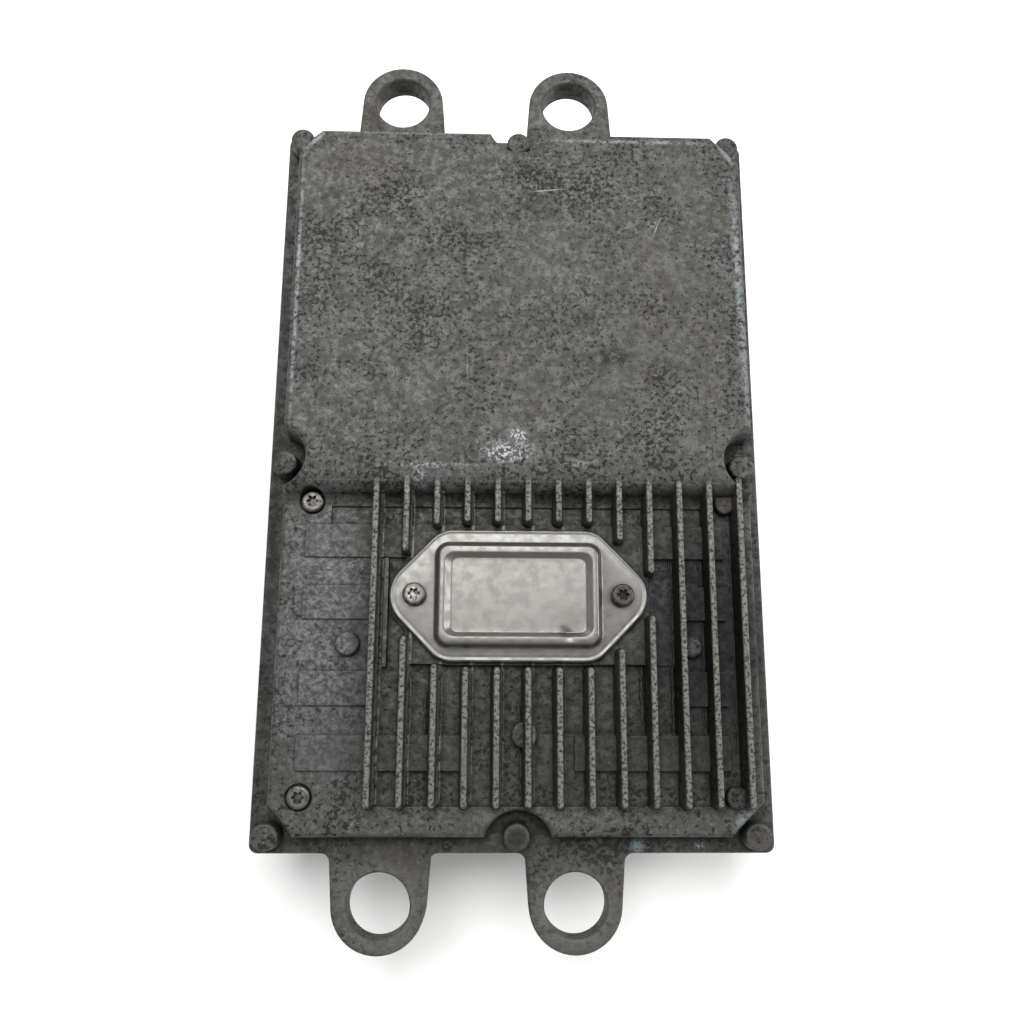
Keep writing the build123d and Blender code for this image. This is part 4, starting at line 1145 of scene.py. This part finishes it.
# Zinc-plated steel screws, grey with dirt in their drives, one of them brown with rust
SCREW_STEEL = Finish(
    "zinc_plated_steel",
    ground="#62615e",
    metallic=0.8,
    roughness=(0.34, 0.5),
    layers=(
        Blotches("#35322d", 1.4, 0.46, 0.62, 0.75),
        *SCREW_MARKS,
        DirtAndShade("#0e0d0b", 2.0, 0.92, 0.5, 0.9, 1.2, 0.7),
        Rub("#7d7a73", 0.35, 0.5, 1.0),
    ),
    grain_mm=0.5,
    relief_mm=0.03,
)

# The record's material slots and their finishes
FINISHES: dict[Slot, Finish] = {
    Slot.CAST_HOUSING: CASTING,
    Slot.BACK_CASTING: BACK_CASTING,
    Slot.COVER_SHEET: COVER_STEEL,
    Slot.SCREW_STEEL: SCREW_STEEL,
    # Black silicone rubber, matt with dust
    Slot.GASKET_RUBBER: Finish(
        "silicone_rubber_black",
        "#1d1d1f",
        0.0,
        (0.62, 0.78),
        (Blotches("#2b2b2c", 3.0, 0.45, 0.65), DirtAndShade("#0e0d0d", 1.5, 0.85, 0.4, 0.6)),
        relief_mm=0.03,
        ior=1.41,
    ),
    # Nylon with glass fibre, moulded: dark, slightly streaked, satin
    Slot.CONNECTOR_PLASTIC: Finish(
        "glass_filled_nylon",
        "#19191b",
        0.0,
        (0.42, 0.56),
        (Blotches("#242426", 2.4, 0.5, 0.66, 0.7), DirtAndShade("#0b0b0b", 3.0, 0.85, 0.4, 0.5)),
        relief_mm=0.03,
        ior=1.53,
    ),
    # Tin-plated brass pins, pale with a warm cast
    Slot.CONTACT_METAL: Finish(
        "tin_plated_brass",
        "#b9b3a0",
        1.0,
        (0.24, 0.36),
        (Blotches("#978d74", 2.0, 0.45, 0.65, 0.7), DirtAndShade("#3a352a", 1.2, 0.8, 0.4, 0.6)),
        relief_mm=0.01,
    ),
    # Glass-epoxy laminate under green solder mask, with faint copper pours below it
    Slot.BOARD_LAMINATE: Finish(
        "solder_mask_laminate",
        "#164a2b",
        0.0,
        (0.28, 0.4),
        (Blotches("#1f5c38", 9.0, 0.48, 0.52, 0.7), DirtAndShade("#0b2416", 2.0, 0.85, 0.4, 0.5)),
        grain_mm=1.0,
        relief_mm=0.02,
        ior=1.55,
    ),
    # Moulded epoxy of the chips, matt black
    Slot.CHIP_PLASTIC: Finish(
        "moulded_epoxy",
        "#151618",
        0.0,
        (0.48, 0.6),
        (Blotches("#1f2022", 2.0, 0.45, 0.65),),
        grain_mm=0.3,
        relief_mm=0.015,
        ior=1.56,
    ),
    # Drawn aluminium cans, bright and smooth
    Slot.CAN_METAL: Finish(
        "drawn_aluminium",
        "#b4b6b9",
        1.0,
        (0.24, 0.34),
        (Blotches("#9d9fa2", 6.0, 0.45, 0.65, 0.7), DirtAndShade("#3c3c3d", 1.6, 0.85, 0.4, 0.5)),
        relief_mm=0.01,
    ),
    # Sintered ferrite cores, dark grey and dull like pencil lead
    Slot.FERRITE: Finish(
        "sintered_ferrite",
        "#2e2e31",
        0.0,
        (0.52, 0.66),
        (Blotches("#3a3a3e", 1.2, 0.5, 0.64),),
        relief_mm=0.04,
        ior=1.8,
    ),
    # Enamelled copper wire, orange-brown under clear varnish
    Slot.COPPER_WIRE: Finish(
        "enamelled_copper",
        "#a0522a",
        1.0,
        (0.24, 0.34),
        (Blotches("#7c3d1e", 2.6, 0.45, 0.65, 0.8), DirtAndShade("#30180c", 1.4, 0.85, 0.4, 0.6)),
        grain_mm=1.0,
        relief_mm=0.2,
    ),
    # Thermal silicone pads, pale grey-green and soft
    Slot.PAD_SILICONE: Finish(
        "silicone_pad",
        "#93a3a1",
        0.0,
        (0.6, 0.74),
        (Blotches("#869694", 4.0, 0.45, 0.65),),
        relief_mm=0.02,
        ior=1.43,
    ),
    # Rolled steel bars, grey with a faint mill grain
    Slot.BAR_STEEL: Finish(
        "rolled_steel",
        "#7f8184",
        1.0,
        (0.34, 0.46),
        (Blotches("#6c6e71", 4.0, 0.45, 0.65, 0.8), DirtAndShade("#2f3031", 2.0, 0.85, 0.4, 0.6)),
        relief_mm=0.02,
    ),
}


def main() -> None:
    """Build the scene in order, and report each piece."""
    logging.basicConfig(level=logging.INFO, format="%(name)s: %(message)s")
    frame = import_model()
    PhotoCamera().build()
    Studio().build()

    finishes = {slot: finish.material() for slot, finish in FINISHES.items()}
    slots = {row["node"]: row["material_slot"] for row in frame["record"]["subparts"]}
    for name, node in frame["nodes"].items():
        dress(node, finishes[Slot(slots[name])])
        LOG.info("%s: %s", name, slots[name])

    AccessCover().build(finishes[Slot.COVER_SHEET])
    FinFlash().build(finishes[Slot.CAST_HOUSING])


if __name__ == "__main__":
    main()
